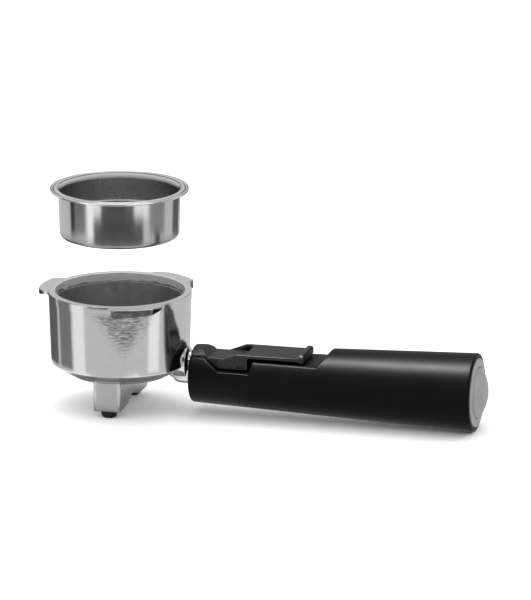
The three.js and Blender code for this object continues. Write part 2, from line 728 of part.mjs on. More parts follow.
function carrierScrew() {
  const x = HANDLE_X + CARRIER_SCREW_S;
  const body = turned(carrierScrewProfile(0), SMALL_STEPS).translate(x, 0, 0);
  const top = CARRIER_TOP_Z - SCREW_SEAT;
  return cutAll(solid(body), ...crossSlots(x, top, 3.2, 0.8, 1.2).map(solid));
}

// ---------------------------------------------------------------- clip lever

// Side view of an ear: round nose at the pin, sloping up to the plate's top.
function earSideView() {
  const slopeDeg = THREE.MathUtils.radToDeg(Math.atan2(PLATE_TOP_N, EAR_SHOULDER_T));
  const crownDeg = 90 + slopeDeg - THREE.MathUtils.radToDeg(Math.asin(EAR_NOSE_R / Math.hypot(
    PLATE_TOP_N,
    EAR_SHOULDER_T,
  )));
  return outline([
    [EAR_REAR_T, EAR_BOTTOM_N],
    [EAR_REAR_T, PLATE_TOP_N],
    [EAR_SHOULDER_T, PLATE_TOP_N],
    ...arc(0, 0, EAR_NOSE_R, crownDeg, 245, 8),
    [0, EAR_BOTTOM_N],
  ].reverse());
}

function plateSideView() {
  const under = PLATE_TOP_N - PLATE_THICK;
  return outline([
    [PLATE_FRONT_T, under],
    [LIP_T, under],
    [LIP_T, under - LIP_DROP],
    [LIP_T + LIP_THICK, under - LIP_DROP],
    [LIP_T + LIP_THICK, PLATE_TOP_N + LIP_RISE - 0.5],
    [LIP_T + LIP_THICK - 0.5, PLATE_TOP_N + LIP_RISE],
    [LIP_T, PLATE_TOP_N + LIP_RISE],
    [LIP_T - 0.6, PLATE_TOP_N],
    [PLATE_FRONT_T, PLATE_TOP_N],
  ]);
}

// Built about the pin, with the plate along +X.
function clipLever() {
  const plate = solid(extrudedAlongY(plateSideView(), -EAR_OUTER_Y, EAR_OUTER_Y));
  const parts = [-1, 1].map((side) => {
    const inner = side * EAR_INNER_Y;
    const outer = side * EAR_OUTER_Y;
    const ear = extrudedAlongY(earSideView(), Math.min(inner, outer), Math.max(inner, outer));
    const nub = rodAlongY(EAR_NUB_R, (EAR_NUB_OUT + 1) / 2, EAR_NUB_T, EAR_NUB_N, 12);
    nub.translate(0, outer + side * (EAR_NUB_OUT - (EAR_NUB_OUT + 1) / 2), 0);
    const [length, height] = EAR_WINDOW;
    const window = boxBetween(
      [EAR_WINDOW_T - length / 2, -EAR_WINDOW_DEEP, EAR_NUB_N - height / 2],
      [EAR_WINDOW_T + length / 2, EAR_WINDOW_DEEP, EAR_NUB_N + height / 2],
    ).translate(0, outer, 0);
    return solid(ear).add(solid(nub)).subtract(solid(window));
  });
  const pinHole = rodAlongY(PIN_R + GAP, EAR_OUTER_Y - EAR_SKIN, 0, 0);
  return addAll(plate, ...parts).subtract(solid(pinHole));
}

// ---------------------------------------------------------------- tie bolt and end cap

const BULKHEAD_X = HANDLE_X + BULKHEAD_S;
const LOCK_WASHER_X = BULKHEAD_X + GAP + WASHER_THICK + GAP;
const BOLT_HEAD_X = LOCK_WASHER_X + WASHER_THICK + GAP;

function ringAlongX(inner, outer, x0, x1, z) {
  return turnedAlongX([[inner, x0], [outer, x0], [outer, x1], [inner, x1]], z, SMALL_STEPS);
}

function tieBoltWasher() {
  const x0 = BULKHEAD_X + GAP;
  return ringAlongX(BOLT_R + GAP, BOLT_WASHER_R, x0, x0 + WASHER_THICK, TANG_Z);
}

// A split spring washer.
function tieBoltLockWasher() {
  const x1 = LOCK_WASHER_X + WASHER_THICK;
  const ring = ringAlongX(BOLT_R + GAP, LOCK_WASHER_R, LOCK_WASHER_X, x1, TANG_Z);
  const slot = boxBetween(
    [LOCK_WASHER_X - 1, -LOCK_WASHER_SLOT / 2, TANG_Z],
    [x1 + 1, LOCK_WASHER_SLOT / 2, TANG_Z + PAST],
  );
  return solid(ring).subtract(solid(slot));
}

// A socket-head bolt whose thread ends inside the tang.
function tieBolt() {
  const head = BOLT_HEAD_X + BOLT_HEAD_H;
  const body = turnedAlongX(
    [
      [0, TANG_END_X - BOLT_BITE],
      [BOLT_R, TANG_END_X - BOLT_BITE],
      [BOLT_R, BOLT_HEAD_X],
      [BOLT_HEAD_R, BOLT_HEAD_X],
      [BOLT_HEAD_R, head],
      [0, head],
    ],
    TANG_Z,
    SMALL_STEPS,
  );
  const socket = rodAlongX(2, head - 2.4, head + PAST, TANG_Z, 6);
  return solid(body).subtract(solid(socket));
}

const SKIRT_X = HANDLE_END_X - CAP_SEAT_DEEP - CAP_SKIRT_LENGTH;
const SKIRT_R = handleRadius(SKIRT_X) - HANDLE_WALL - GAP;
const CAP_RING_X = SKIRT_X + CAP_SKIRT_LENGTH / 2;
const CAP_RING_MIDDLE_R = SKIRT_R - CAP_RING_R + GAP / 2;

// A domed cap with a flat flange, a grooved skirt and an open hollow behind.
function endCap() {
  const seat = HANDLE_END_X - CAP_SEAT_DEEP + GAP;
  const domeX = CAP_TIP_X - CAP_DOME_SPHERE_R;
  const halfDeg = THREE.MathUtils.radToDeg(Math.asin(CAP_DOME_R / CAP_DOME_SPHERE_R));
  const groove = CAP_RING_R + GAP;
  const grooveR = CAP_RING_MIDDLE_R - groove;
  const inner = grooveR - CAP_WALL;
  return turnedAlongX(
    [
      [0, seat + 1],
      [inner, seat + 1],
      [inner, SKIRT_X],
      [SKIRT_R, SKIRT_X],
      [SKIRT_R, CAP_RING_X - groove],
      [grooveR, CAP_RING_X - groove],
      [grooveR, CAP_RING_X + groove],
      [SKIRT_R, CAP_RING_X + groove],
      [SKIRT_R, seat],
      [CAP_R, seat],
      [CAP_R, CAP_FACE_X - 0.4],
      [CAP_R - 0.4, CAP_FACE_X],
      [CAP_DOME_R, CAP_FACE_X],
      ...arc(0, domeX, CAP_DOME_SPHERE_R, 90 - halfDeg, 90, 8),
    ],
    AXIS_Z,
    48,
  );
}

function capRing() {
  return new THREE.TorusGeometry(CAP_RING_MIDDLE_R, CAP_RING_R, 8, 48)
    .rotateY(Math.PI / 2)
    .translate(CAP_RING_X, 0, AXIS_Z);
}

// ---------------------------------------------------------------- materials

const FINISHES = {
  polishedAluminium: { color: 0xc9cacd, roughness: 0.18, metalness: 1 },
  satinAluminium: { color: 0xb9babd, roughness: 0.4, metalness: 1 },
  stainless: { color: 0xc2c3c6, roughness: 0.25, metalness: 1 },
  zincSteel: { color: 0x9fa1a5, roughness: 0.4, metalness: 1 },
  blackGloss: { color: 0x121214, roughness: 0.35, metalness: 0 },
  blackTextured: { color: 0x2a2a2c, roughness: 0.6, metalness: 0 },
  silverPaint: { color: 0xa6a6aa, roughness: 0.45, metalness: 0.6 },
  blackRubber: { color: 0x0c0c0d, roughness: 0.8, metalness: 0 },
};

// ---------------------------------------------------------------- assembly

const assembly = new THREE.Group();

function piece(name, shape, finish, parent = assembly) {
  const geometry = shape.isBufferGeometry ? shape : geometryOf(shape);
  const mesh = new THREE.Mesh(geometry, new THREE.MeshStandardMaterial(FINISHES[finish]));
  mesh.name = name;
  parent.add(mesh);
  return mesh;
}

piece("holder_cup", holderCup(), "polishedAluminium");
piece("spout_block", spoutBlock(), "satinAluminium");
piece("spout_gasket", spoutGasket(), "blackRubber");
piece("spout_screw", spoutScrew(), "zincSteel");
piece("spout_screw_washer", spoutScrewWasher(), "zincSteel");
piece("outlet_tip_front", outletTip(-1), "blackRubber");
piece("outlet_tip_rear", outletTip(1), "blackRubber");
piece("filter_basket", filterBasket(), "stainless");
piece("basket_screen", basketScreen(), "stainless");
piece("handle_shell", handleShell(), "blackGloss");
piece("lever_carrier", leverCarrier(), "blackTextured");
piece("carrier_screw", carrierScrew(), "zincSteel");
piece("tie_bolt", tieBolt(), "zincSteel");
piece("tie_bolt_washer", tieBoltWasher(), "zincSteel");
piece("tie_bolt_lock_washer", tieBoltLockWasher(), "zincSteel");
piece("end_cap", endCap(), "silverPaint");
piece("end_cap_ring", capRing(), "blackRubber");

// The lever and its pin are placed by the pin's axis.
const lever = new THREE.Group();
lever.position.set(PIVOT_X, 0, PIVOT_Z);
assembly.add(lever);
piece("clip_lever", clipLever(), "blackTextured", lever);
piece("clip_pin", rodAlongY(PIN_R, EAR_OUTER_Y - EAR_SKIN - GAP, 0, 0), "zincSteel", lever);

// The group's origin is below the middle of the length, between the rear lug and the cap's tip.
assembly.position.x = (LUG_R - CAP_TIP_X) / 2;

const portafilter = new THREE.Group();
portafilter.add(assembly);

export default portafilter;
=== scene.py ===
# %% [markdown]
# # A portafilter with its basket lifted out
#
# A portafilter is the handled holder that locks under an espresso machine. It is a polished cast
# cup with three lugs, a double spout, a black handle with a flip-over clip, and a filter basket.
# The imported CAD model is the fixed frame: it says where every part goes, in metres. Each
# visible part is rebuilt here as a finer mesh in the same place.

import json
from math import (
    asin, atan2, ceil, copysign, cos, degrees, hypot, pi, radians, sin, sqrt, tan
)

import bmesh
import bpy
from mathutils import Matrix, Vector
from mathutils.geometry import delaunay_2d_cdt


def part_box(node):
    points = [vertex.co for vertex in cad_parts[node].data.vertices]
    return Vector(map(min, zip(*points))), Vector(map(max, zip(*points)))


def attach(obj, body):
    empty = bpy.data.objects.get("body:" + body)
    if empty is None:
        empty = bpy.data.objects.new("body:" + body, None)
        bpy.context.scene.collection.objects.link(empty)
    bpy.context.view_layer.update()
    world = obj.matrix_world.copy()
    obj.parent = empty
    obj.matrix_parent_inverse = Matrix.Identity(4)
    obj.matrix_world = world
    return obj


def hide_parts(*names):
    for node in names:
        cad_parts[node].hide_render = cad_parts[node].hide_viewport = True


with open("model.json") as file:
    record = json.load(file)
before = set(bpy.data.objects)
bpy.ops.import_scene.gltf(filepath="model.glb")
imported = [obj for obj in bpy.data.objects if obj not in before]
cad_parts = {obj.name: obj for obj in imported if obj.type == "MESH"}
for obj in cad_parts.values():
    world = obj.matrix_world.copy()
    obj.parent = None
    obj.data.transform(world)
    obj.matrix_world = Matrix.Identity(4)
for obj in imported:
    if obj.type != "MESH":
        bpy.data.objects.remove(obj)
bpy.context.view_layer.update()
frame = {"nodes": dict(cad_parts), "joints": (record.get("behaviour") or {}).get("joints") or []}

# %% [markdown]
# ## Places read from the frame
#
# The upright axis of the cup and basket, the lying axis of the handle, and the main heights all
# come from the CAD boxes, so nothing has to be fitted by eye.

# %% Axes and heights
MM = 0.001

basket_low, basket_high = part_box("filter_basket")
cup_low, cup_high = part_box("holder_cup")
spout_low, spout_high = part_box("spout_block")
shell_low, shell_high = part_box("handle_shell")
cap_low, cap_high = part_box("end_cap")
hinge = next(joint for joint in frame["joints"] if joint["name"] == "clip_flip")

CUP_X = (basket_low.x + basket_high.x) / 2
RIM_Z = cup_high.z
GAP = 0.3 * MM
UNDERSIDE_Z = spout_high.z + GAP
HANDLE_X, HANDLE_END_X = shell_low.x, shell_high.x
AXIS_Z = (cap_low.z + cap_high.z) / 2
PIN = Vector(hinge["pos_m"])
places = {"cup axis": CUP_X, "rim": RIM_Z, "handle front": HANDLE_X, "handle axis": AXIS_Z}
print({name: round(place, 5) for name, place in places.items()})

# %% [markdown]
# ## Camera
#
# Product pictures are taken from far away with a long lens, which keeps the ellipses of the rims
# nearly parallel. The camera looks a little down at the middle of the object.

# %% Camera
CAMERA_AZIMUTH = radians(14.61)
CAMERA_ELEVATION = radians(15.17)
CAMERA_AWAY = 2.3587
CAMERA_LENS = 330.0
CAMERA_TARGET = Vector((1.276 * MM, 0, 51.61 * MM))

back = Vector(
    (
        sin(CAMERA_AZIMUTH) * cos(CAMERA_ELEVATION),
        -cos(CAMERA_AZIMUTH) * cos(CAMERA_ELEVATION),
        sin(CAMERA_ELEVATION),
    )
)
camera = bpy.data.objects.new("camera", bpy.data.cameras.new("camera"))
camera.data.lens = CAMERA_LENS
camera.data.sensor_width = 36
camera.data.clip_end = 20
camera.location = CAMERA_TARGET + back * CAMERA_AWAY
camera.rotation_mode = "QUATERNION"
camera.rotation_quaternion = (-back).to_track_quat("-Z", "Y")
bpy.context.collection.objects.link(camera)
bpy.context.scene.camera = camera
print("camera at", [round(v, 3) for v in camera.location])

# %% [markdown]
# ## Mesh helpers
#
# Almost every part here is turned or lofted, so one helper skins rows of points with quads.
# A second one rounds the corners of an outline, because real cast, pressed and moulded parts have
# no sharp edges, and those small radii are what catches the light.

# %% Angles and points along an arc
QUARTER = pi / 2


def arc(first, last, steps):
    """Evenly spaced values, both ends included."""
    return [first + (last - first) * k / steps for k in range(steps + 1)]


def circle(steps):
    return arc(0, 4 * QUARTER, steps)[:-1]


def quarter_round(r, steps):
    """A rounded edge as pairs: how far along it, and how far in from the full size there."""
    return [(r * (1 - cos(a)), r * (1 - sin(a))) for a in arc(0, QUARTER, steps)]


def spoke(r, a):
    return (r * cos(a), r * sin(a))


def upright(r, a, z, x=CUP_X, y=0.0):
    """The point in direction a, r away from an upright axis."""
    return (x + r * cos(a), y + r * sin(a), z)


def lying(r, a, x, z=AXIS_Z):
    """The point in direction a, r away from an axis along X, with a measured from the top."""
    return (x, r * sin(a), z + r * cos(a))


# %% Skin rows of points, and smooth the result
TINY = 0.0005 * MM


def finish_mesh(piece, sharp=32):
    piece.data.shade_smooth()
    piece.data.set_sharp_from_angle(angle=radians(sharp))
    return piece


def piece_from(name, mesh_maker, sharp=32):
    """Makes one object from a bmesh that has been filled in."""
    mesh = bpy.data.meshes.new(name)
    bmesh.ops.remove_doubles(mesh_maker, verts=mesh_maker.verts, dist=TINY)
    bmesh.ops.dissolve_degenerate(mesh_maker, edges=mesh_maker.edges, dist=TINY)
    bmesh.ops.recalc_face_normals(mesh_maker, faces=mesh_maker.faces)
    mesh_maker.to_mesh(mesh)
    mesh_maker.free()
    piece = bpy.data.objects.new(name, mesh)
    bpy.context.collection.objects.link(piece)
    print(name, len(mesh.vertices), "points", len(mesh.polygons), "faces")
    return finish_mesh(piece, sharp)


def strip(maker, lower, upper):
    """Quads between two rows that close on themselves."""
    for i in range(len(lower)):
        maker.faces.new((lower[i - 1], lower[i], upper[i], upper[i - 1]))


def skin(name, rows, joined=False, capped=False, sharp=32):
    """Rows of points that close on themselves, joined by quads. joined closes last row to first."""
    maker = bmesh.new()
    grid = [[maker.verts.new(point) for point in row] for row in rows]
    pairs = list(zip(grid, grid[1:])) + ([(grid[-1], grid[0])] if joined else [])
    for lower, upper in pairs:
        strip(maker, lower, upper)
    if capped:
        maker.faces.new(grid[0])
        maker.faces.new(grid[-1])
    return piece_from(name, maker, sharp)


# %% Round the corners of an outline
def softened(corners, closed=True, steps=4):
    """Corners (x, y) or (x, y, radius) as an outline with those corners rounded."""
    outline = []
    for i, corner in enumerate(corners):
        here = Vector(corner[:2])
        radius = corner[2] if len(corner) > 2 else 0
        if not radius or (not closed and i in (0, len(corners) - 1)):
            outline.append((here.x, here.y))
            continue
        to_last = (Vector(corners[i - 1][:2]) - here).normalized()
        to_next = (Vector(corners[(i + 1) % len(corners)][:2]) - here).normalized()
        half = to_last.angle(to_next) / 2
        middle = here + (to_last + to_next).normalized() * (radius / sin(half))
        start = here + to_last * (radius / tan(half)) - middle
        turn = to_last.cross(to_next)
        sweep = copysign(pi - 2 * half, -turn)
        for k in range(steps + 1):
            arm = start.copy()
            arm.rotate(Matrix.Rotation(sweep * k / steps, 2))
            outline.append(tuple(middle + arm))
    return outline


# %% Turn a profile about an upright or a lying axis
def turned(name, profile, x=CUP_X, y=0.0, joined=True, steps=160):
    """Profile points (radius, height) about an upright axis."""
    rows = [[upright(r, a, z, x, y) for a in circle(steps)] for r, z in profile]
    return skin(name, rows, joined=joined)


def turned_lying(name, profile, z=AXIS_Z, joined=True, steps=160):
    """Profile points (radius, x) about an axis along X."""
    rows = [[lying(r, a, x, z) for a in circle(steps)] for r, x in profile]
    return skin(name, rows, joined=joined)


def rod(r, start, end):
    """The profile of a plain rod."""
    return [(0, start), (r, start), (r, end), (0, end)]


# %% Draw an outline out along an axis
def prism(name, outline, ends, axis):
    """Outline points (u, v) at both ends along axis 0, 1 or 2; u and v are the other two axes."""
    rows = [[(*point[:axis], end, *point[axis:]) for point in outline] for end in ends]
    return skin(name, rows, capped=True)


def rectangle(low, high, radius=0.0, steps=4):
    (u0, v0), (u1, v1) = low, high
    corners = [(u0, v0, radius), (u1, v0, radius), (u1, v1, radius), (u0, v1, radius)]
    return softened(corners, steps=steps)


def block(name, low, high):
    return prism(name, rectangle(low[:2], high[:2]), (low[2], high[2]), axis=2)


# %% Cut, join and round edges with modifiers that are applied at once
def applied(piece):
    depsgraph = bpy.context.evaluated_depsgraph_get()
    mesh = bpy.data.meshes.new_from_object(piece.evaluated_get(depsgraph))
    old = piece.data
    piece.modifiers.clear()
    piece.data = mesh
    mesh.name = piece.name
    bpy.data.meshes.remove(old)
    return piece


def combined(piece, others, operation, sharp=32):
    for other in others:
        step = piece.modifiers.new("combine", "BOOLEAN")
        step.operation = operation
        step.solver = "MANIFOLD"
        step.object = other
    applied(piece)
    for other in others:
        mesh = other.data
        bpy.data.objects.remove(other)
        bpy.data.meshes.remove(mesh)
    print(piece.name, operation.lower(), len(piece.data.polygons), "faces")
    return finish_mesh(piece, sharp)


def edged(piece, width, segments=3, angle=38):
    step = piece.modifiers.new("edge", "BEVEL")
    step.width, step.segments = width, segments
    step.limit_method, step.angle_limit = "ANGLE", radians(angle)
    step.use_clamp_overlap = False
    return finish_mesh(applied(piece))


# %% Put a piece on its body, in the place of its CAD node
def stands_for(piece, node, body):
    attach(piece, body)
    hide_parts(node)
    low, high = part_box(node)
    mine = [Vector(c) for c in piece.bound_box]
    over = max(
        max(low[i] - min(c[i] for c in mine), max(c[i] for c in mine) - high[i]) for i in range(3)
    )
    print(piece.name, "stands proud of", node, "by at most", round(over / MM, 2), "mm")
    return piece


# %% [markdown]
# ## Filter basket
#
# The basket is pressed from thin stainless sheet: a slightly tapered wall, a rounded floor corner,
# and a flat rim with a rolled outer bead and a shallow groove. One closed profile through the
# thickness of the sheet, turned about the axis, gives all of it with even quads.

# %% Filter basket
BASKET_R, BASKET_RIM_R = 26.4 * MM, 30 * MM
SHEET = 0.8 * MM
BASKET_DRAFT = 0.6 * MM
BASKET_CORNER_R = 2 * MM
BASKET_HOLE_R = 0.8 * MM
basket_top, basket_floor = basket_high.z, basket_low.z
basket_foot_r = BASKET_R - BASKET_DRAFT

# Radii of the rim's groove, its wide middle band and its inner edge, from outside to inside.
GROOVE_OUTER, GROOVE_FLOOR_OUTER, GROOVE_FLOOR_INNER = 28.9 * MM, 28.6 * MM, 28.25 * MM
RIM_BAND_OUTER, RIM_BAND_INNER, THROAT_R = 27.95 * MM, 26.5 * MM, 25.62 * MM
RIM_THICK, BEAD_DROP, GROOVE_DEEP, THROAT_DEEP = 1.3 * MM, 0.1 * MM, 0.6 * MM, 2.2 * MM

basket_profile = softened([
    (BASKET_HOLE_R, basket_floor, 0.15 * MM),
    (basket_foot_r, basket_floor, BASKET_CORNER_R),
    (BASKET_R, basket_top - RIM_THICK, 0.6 * MM),
    (BASKET_RIM_R, basket_top - RIM_THICK, 0.6 * MM),
    (BASKET_RIM_R, basket_top - BEAD_DROP, 0.55 * MM),
    (GROOVE_OUTER, basket_top - BEAD_DROP, 0.3 * MM),
    (GROOVE_FLOOR_OUTER, basket_top - GROOVE_DEEP, 0.2 * MM),
    (GROOVE_FLOOR_INNER, basket_top - GROOVE_DEEP, 0.2 * MM),
    (RIM_BAND_OUTER, basket_top, 0.3 * MM),
    (RIM_BAND_INNER, basket_top, 0.9 * MM),
    (THROAT_R, basket_top - THROAT_DEEP, 1.5 * MM),
    (basket_foot_r - SHEET, basket_floor + SHEET, BASKET_CORNER_R - SHEET),
    (BASKET_HOLE_R, basket_floor + SHEET, 0.15 * MM),
], steps=5)
basket = turned("basket_body", basket_profile, steps=192)
stands_for(basket, "filter_basket", "basket")

# %% [markdown]
# ## Perforated inner floor
#
# Home machines often use a double-floored basket: the upper floor is a disc with a few hundred
# small holes. Cutting them one by one would be slow, so the disc's outline and every hole are
# triangulated together, the triangles inside the holes are dropped, and the rest is thickened.

# %% Inner floor
screen_low, screen_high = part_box("basket_screen")
SCREEN_R = screen_high.x - CUP_X
SCREEN_EDGE_R = 1.2 * MM
HOLE_R, HOLE_PITCH = 0.42 * MM, 1.9 * MM
HOLE_SIDES, RIM_SIDES = 10, 144
HOLES_WITHIN = 20.5 * MM

flat_r = SCREEN_R - SCREEN_EDGE_R
outline = [Vector(spoke(flat_r, a)) for a in circle(RIM_SIDES)]
edges = [(i, (i + 1) % RIM_SIDES) for i in range(RIM_SIDES)]
owner = [-1] * RIM_SIDES
holes = 0
reach = int(HOLES_WITHIN / HOLE_PITCH) + 2
for row in range(-reach, reach + 1):
    for column in range(-reach, reach + 1):
        middle = Vector((column + row % 2 / 2, row * sqrt(3) / 2)) * HOLE_PITCH
        if middle.length > HOLES_WITHIN:
            continue
        first = len(outline)
        for k, a in enumerate(circle(HOLE_SIDES)):
            outline.append(middle + Vector(spoke(1, a)) * HOLE_R)
            edges.append((first + k, first + (k + 1) % HOLE_SIDES))
            owner.append(holes)
        holes += 1
points, _, triangles, sources, _, _ = delaunay_2d_cdt(outline, edges, [], 0, 1e-7)
owners = [owner[s[0]] if s else -1 for s in sources]

maker = bmesh.new()
top = [maker.verts.new((CUP_X + p.x, p.y, screen_high.z)) for p in points]
under = [maker.verts.new((CUP_X + p.x, p.y, screen_high.z - SHEET)) for p in points]
used = {}
for triangle in triangles:
    kinds = {owners[i] for i in triangle}
    if len(kinds) == 1 and -1 not in kinds:
        continue
    maker.faces.new([top[i] for i in triangle])
    maker.faces.new([under[i] for i in reversed(triangle)])
    for a, b in zip(triangle, (*triangle[1:], triangle[0])):
        used[frozenset((a, b))] = used.get(frozenset((a, b)), 0) + 1
for edge, count in used.items():
    a, b = edge
    if count == 1 and owners[a] >= 0:
        maker.faces.new((top[a], top[b], under[b], under[a]))

skirt = softened([
    (flat_r, screen_high.z),
    (SCREEN_R, screen_high.z, SCREEN_EDGE_R * 0.9),
    (SCREEN_R, screen_low.z, 0.2 * MM),
    (SCREEN_R - SHEET, screen_low.z, 0.2 * MM),
    (SCREEN_R - SHEET, screen_high.z - SHEET, 0.3 * MM),
    (flat_r, screen_high.z - SHEET),
], closed=False)
rings = [[maker.verts.new(upright(r, a, z)) for a in circle(RIM_SIDES)] for r, z in skirt]
for lower, upper in zip(rings, rings[1:]):
    strip(maker, lower, upper)
screen = piece_from("basket_inner_floor", maker)
print(holes, "holes")
stands_for(screen, "basket_screen", "basket")

# %% [markdown]
# ## Cup
#
# The cup is one aluminium casting. Its outside, the lugs and the hollow all belong to one profile
# that changes as it goes round: where there is a lug, part of the profile reaches further out.
# Rows of the same number of points keep the surface continuous, which a polished surface needs,
# because every crease would show in its reflections.

# %% Lug outline round the cup
LUG_REACH = 4.5 * MM
LUG_THICK = 3.8 * MM
LUG_RAMP = 0.8 * MM
LUG_LEAD_RISE = 1.3 * MM
LUG_MIDDLES = (60, 180, 300)
LUG_SPAN = 26  # degrees to either side of its middle that hold all of a lug
# Degrees from a lug's middle, and the share of its reach there: a blunt leaning end, the full
# width, a long tapered shoulder and a short end.
LUG_PLAN = ((-22.6, 0), (-18.4, 1), (8.5, 1), (18.5, 0.55), (20.6, 0))


def between(x, stops):
    """The value at x on the line through the stops."""
    if x <= stops[0][0]:
        return stops[0][1]
    for (x0, y0), (x1, y1) in zip(stops, stops[1:]):
        if x <= x1:
            return y0 + (y1 - y0) * (x - x0) / (x1 - x0)
    return stops[-1][1]


def lug_at(heading):
    """Reach of the rim's edge at this angle, and how far a lug's underside has risen."""
    for middle in LUG_MIDDLES:
        off = (heading - middle + 180) % 360 - 180
        if abs(off) < LUG_SPAN:  # the mean over 1.4 degrees softens the plan's corners
            shares = [between(off + shift, LUG_PLAN) for shift in (-0.7, -0.35, 0, 0.35, 0.7)]
            rise = between(off, ((-18, 0), (9, LUG_RAMP), (18, LUG_RAMP + LUG_LEAD_RISE)))
            return LUG_REACH * sum(shares) / len(shares), rise
    return 0.0, 0.0


columns = []
for middle in LUG_MIDDLES:
    for first, last, step in (
        (-24, -16, 0.25),
        (-16, 5, 1.5),
        (5, 11, 0.5),
        (11, 17, 1),
        (17, 22, 0.25),
        (22, 96, 1.51),
    ):
        columns += [middle + first + step * i for i in range(round((last - first) / step))]
columns = [radians(c) for c in columns]
print(len(columns), "columns round the cup")

# %% Cup body
CUP_RIM_R, CUP_FOOT_R = 31 * MM, 30 * MM
UNDERSIDE_R = 22 * MM
FOOT_RISE = 5.2 * MM
MOUTH_R, CAVITY_FOOT_R = 28.1 * MM, 27.3 * MM
CAVITY_FLOOR_Z = RIM_Z - 31 * MM
FUNNEL = 1.6 * MM
RIM_EDGE = 0.35 * MM
foot_z = UNDERSIDE_Z + FOOT_RISE

below_lug = softened([
    (0, UNDERSIDE_Z),
    (UNDERSIDE_R, UNDERSIDE_Z, 1 * MM),
    (CUP_FOOT_R, foot_z, 0.9 * MM),
    (CUP_RIM_R, RIM_Z),
], closed=False, steps=6)[:-1]
inside = softened([
    (CUP_RIM_R, RIM_Z),
    (MOUTH_R, RIM_Z, 0.35 * MM),
    (MOUTH_R - 0.05 * MM, RIM_Z - 4 * MM, 0.1 * MM),
    (MOUTH_R - 0.25 * MM, RIM_Z - 4.3 * MM, 0.1 * MM),
    (CAVITY_FOOT_R, CAVITY_FLOOR_Z, 4 * MM),
    (9 * MM, CAVITY_FLOOR_Z - FUNNEL, 3 * MM),
    (0, CAVITY_FLOOR_Z - FUNNEL),
], closed=False, steps=8)[1:]


def wall_r(z):
    return between(z, ((foot_z, CUP_FOOT_R), (RIM_Z, CUP_RIM_R)))


def cup_profile(angle):
    """The whole profile at one angle, always with the same number of points."""
    reach, rise = lug_at(degrees(angle))
    seat_z = RIM_Z - LUG_THICK + rise
    profile = list(below_lug)
    for z in arc(foot_z + 0.6 * MM, seat_z - 1 * MM, 12)[1:]:
        profile.append((wall_r(z), z))
    fillet = min(0.6 * MM, reach * 0.5)
    for out, down in quarter_round(fillet, 4)[1:]:  # from the wall to the lug's underside
        z = seat_z - down
        profile.append((wall_r(z) + out, z))
    top_r = CUP_RIM_R + reach
    edge = min(0.4 * MM, reach * 0.4)
    for up, inward in quarter_round(edge, 4):  # lower outer edge
        profile.append((max(wall_r(seat_z), top_r - inward), seat_z + up))
    for inward, down in quarter_round(RIM_EDGE, 5):  # upper outer edge
        profile.append((top_r - inward, RIM_Z - down))
    profile.append((CUP_RIM_R - 0.9 * MM, RIM_Z))
    return profile + inside


profiles = [cup_profile(a) for a in columns]
cup_rows = [[upright(r, a, z) for a, (r, z) in zip(columns, level)] for level in zip(*profiles)]
cup = skin("cup", cup_rows)

# %% [markdown]
# The neck leaves the cup's wall with a round collar, has a domed top and a narrow keel that runs
# down into the cup's foot, and ends in a square tang inside the handle. These are closed solids
# that are joined to the cup and then drilled, as a foundry's pattern maker would add them.

# %% Neck, collar and tang
HANDLE_FRONT_R, HANDLE_END_R = 12.55 * MM, 17 * MM
PARTING_H = 9.7 * MM
NECK_HALF = 4.8 * MM
NECK_TOP_Z = AXIS_Z + PARTING_H - 0.25 * MM
NECK_BOTTOM_Z = cup_low.z
KEEL_R = 1.6 * MM
COLLAR_R = 7 * MM
TANG_TOP_Z = AXIS_Z + 2.5 * MM
TANG_H, TANG_HALF, TANG_END_X = 6.4 * MM, 4 * MM, HANDLE_X + 46.7 * MM
neck_axis_z = NECK_TOP_Z - NECK_HALF
neck_end_x = HANDLE_X - GAP

neck_outline = [
    (NECK_HALF * cos(a), neck_axis_z + NECK_HALF * sin(a))
    for a in arc(0, 2 * QUARTER, 24)
] + softened([
    (-NECK_HALF, neck_axis_z),
    (-NECK_HALF + 0.5 * MM, NECK_BOTTOM_Z, KEEL_R),
    (NECK_HALF - 0.5 * MM, NECK_BOTTOM_Z, KEEL_R),
    (NECK_HALF, neck_axis_z),
], closed=False, steps=6)[1:-1]


def neck_row(x, lift=0.0):
    """The neck's section at x, with its keel lifted."""
    rows = []
    for y, z in neck_outline:
        share = min(1, max(0, (neck_axis_z - z) / (neck_axis_z - NECK_BOTTOM_Z)))
        rows.append((x, y, z + lift * share))
    return rows


keel_front_x = CUP_X + 25.5 * MM
neck = skin(
    "neck",
    [
        neck_row(CUP_X + 22.5 * MM, 3.2 * MM),
        neck_row(keel_front_x - 1 * MM, 2 * MM),
        neck_row(keel_front_x, 0.7 * MM),
        neck_row(keel_front_x + 1 * MM, 0.15 * MM),
        neck_row(keel_front_x + 2 * MM),
        neck_row(neck_end_x),
    ],
    capped=True,
)

collar_profile = softened([
    (0, CUP_X + 25 * MM),
    (COLLAR_R, CUP_X + 25 * MM),
    (COLLAR_R, CUP_X + 30.6 * MM, 0.25 * MM),
    (NECK_HALF + 0.5 * MM, CUP_X + 31.1 * MM, 1.1 * MM),
    (NECK_HALF + 0.1 * MM, neck_end_x - 0.15 * MM, 0.1 * MM),
    (0, neck_end_x - 0.15 * MM),
], closed=False, steps=6)
collar = turned_lying("collar", collar_profile, z=neck_axis_z, joined=False, steps=96)
tang = block(
    "tang",
    (neck_end_x - 1 * MM, -TANG_HALF, TANG_TOP_Z - TANG_H),
    (TANG_END_X, TANG_HALF, TANG_TOP_Z),
)
combined(cup, [neck, collar, tang], "UNION")

# %% Drains and screw holes
DRAIN_R, DRAIN_Y = 3 * MM, 10 * MM
SPOUT_SCREW_HOLE_R = 2.3 * MM
GASKET_SEAT_R = 5.3 * MM
CARRIER_SCREW_X, CARRIER_SCREW_HOLE_R = HANDLE_X + 23.6 * MM, 1.8 * MM
TIE_BOLT_HOLE_R = 2.3 * MM


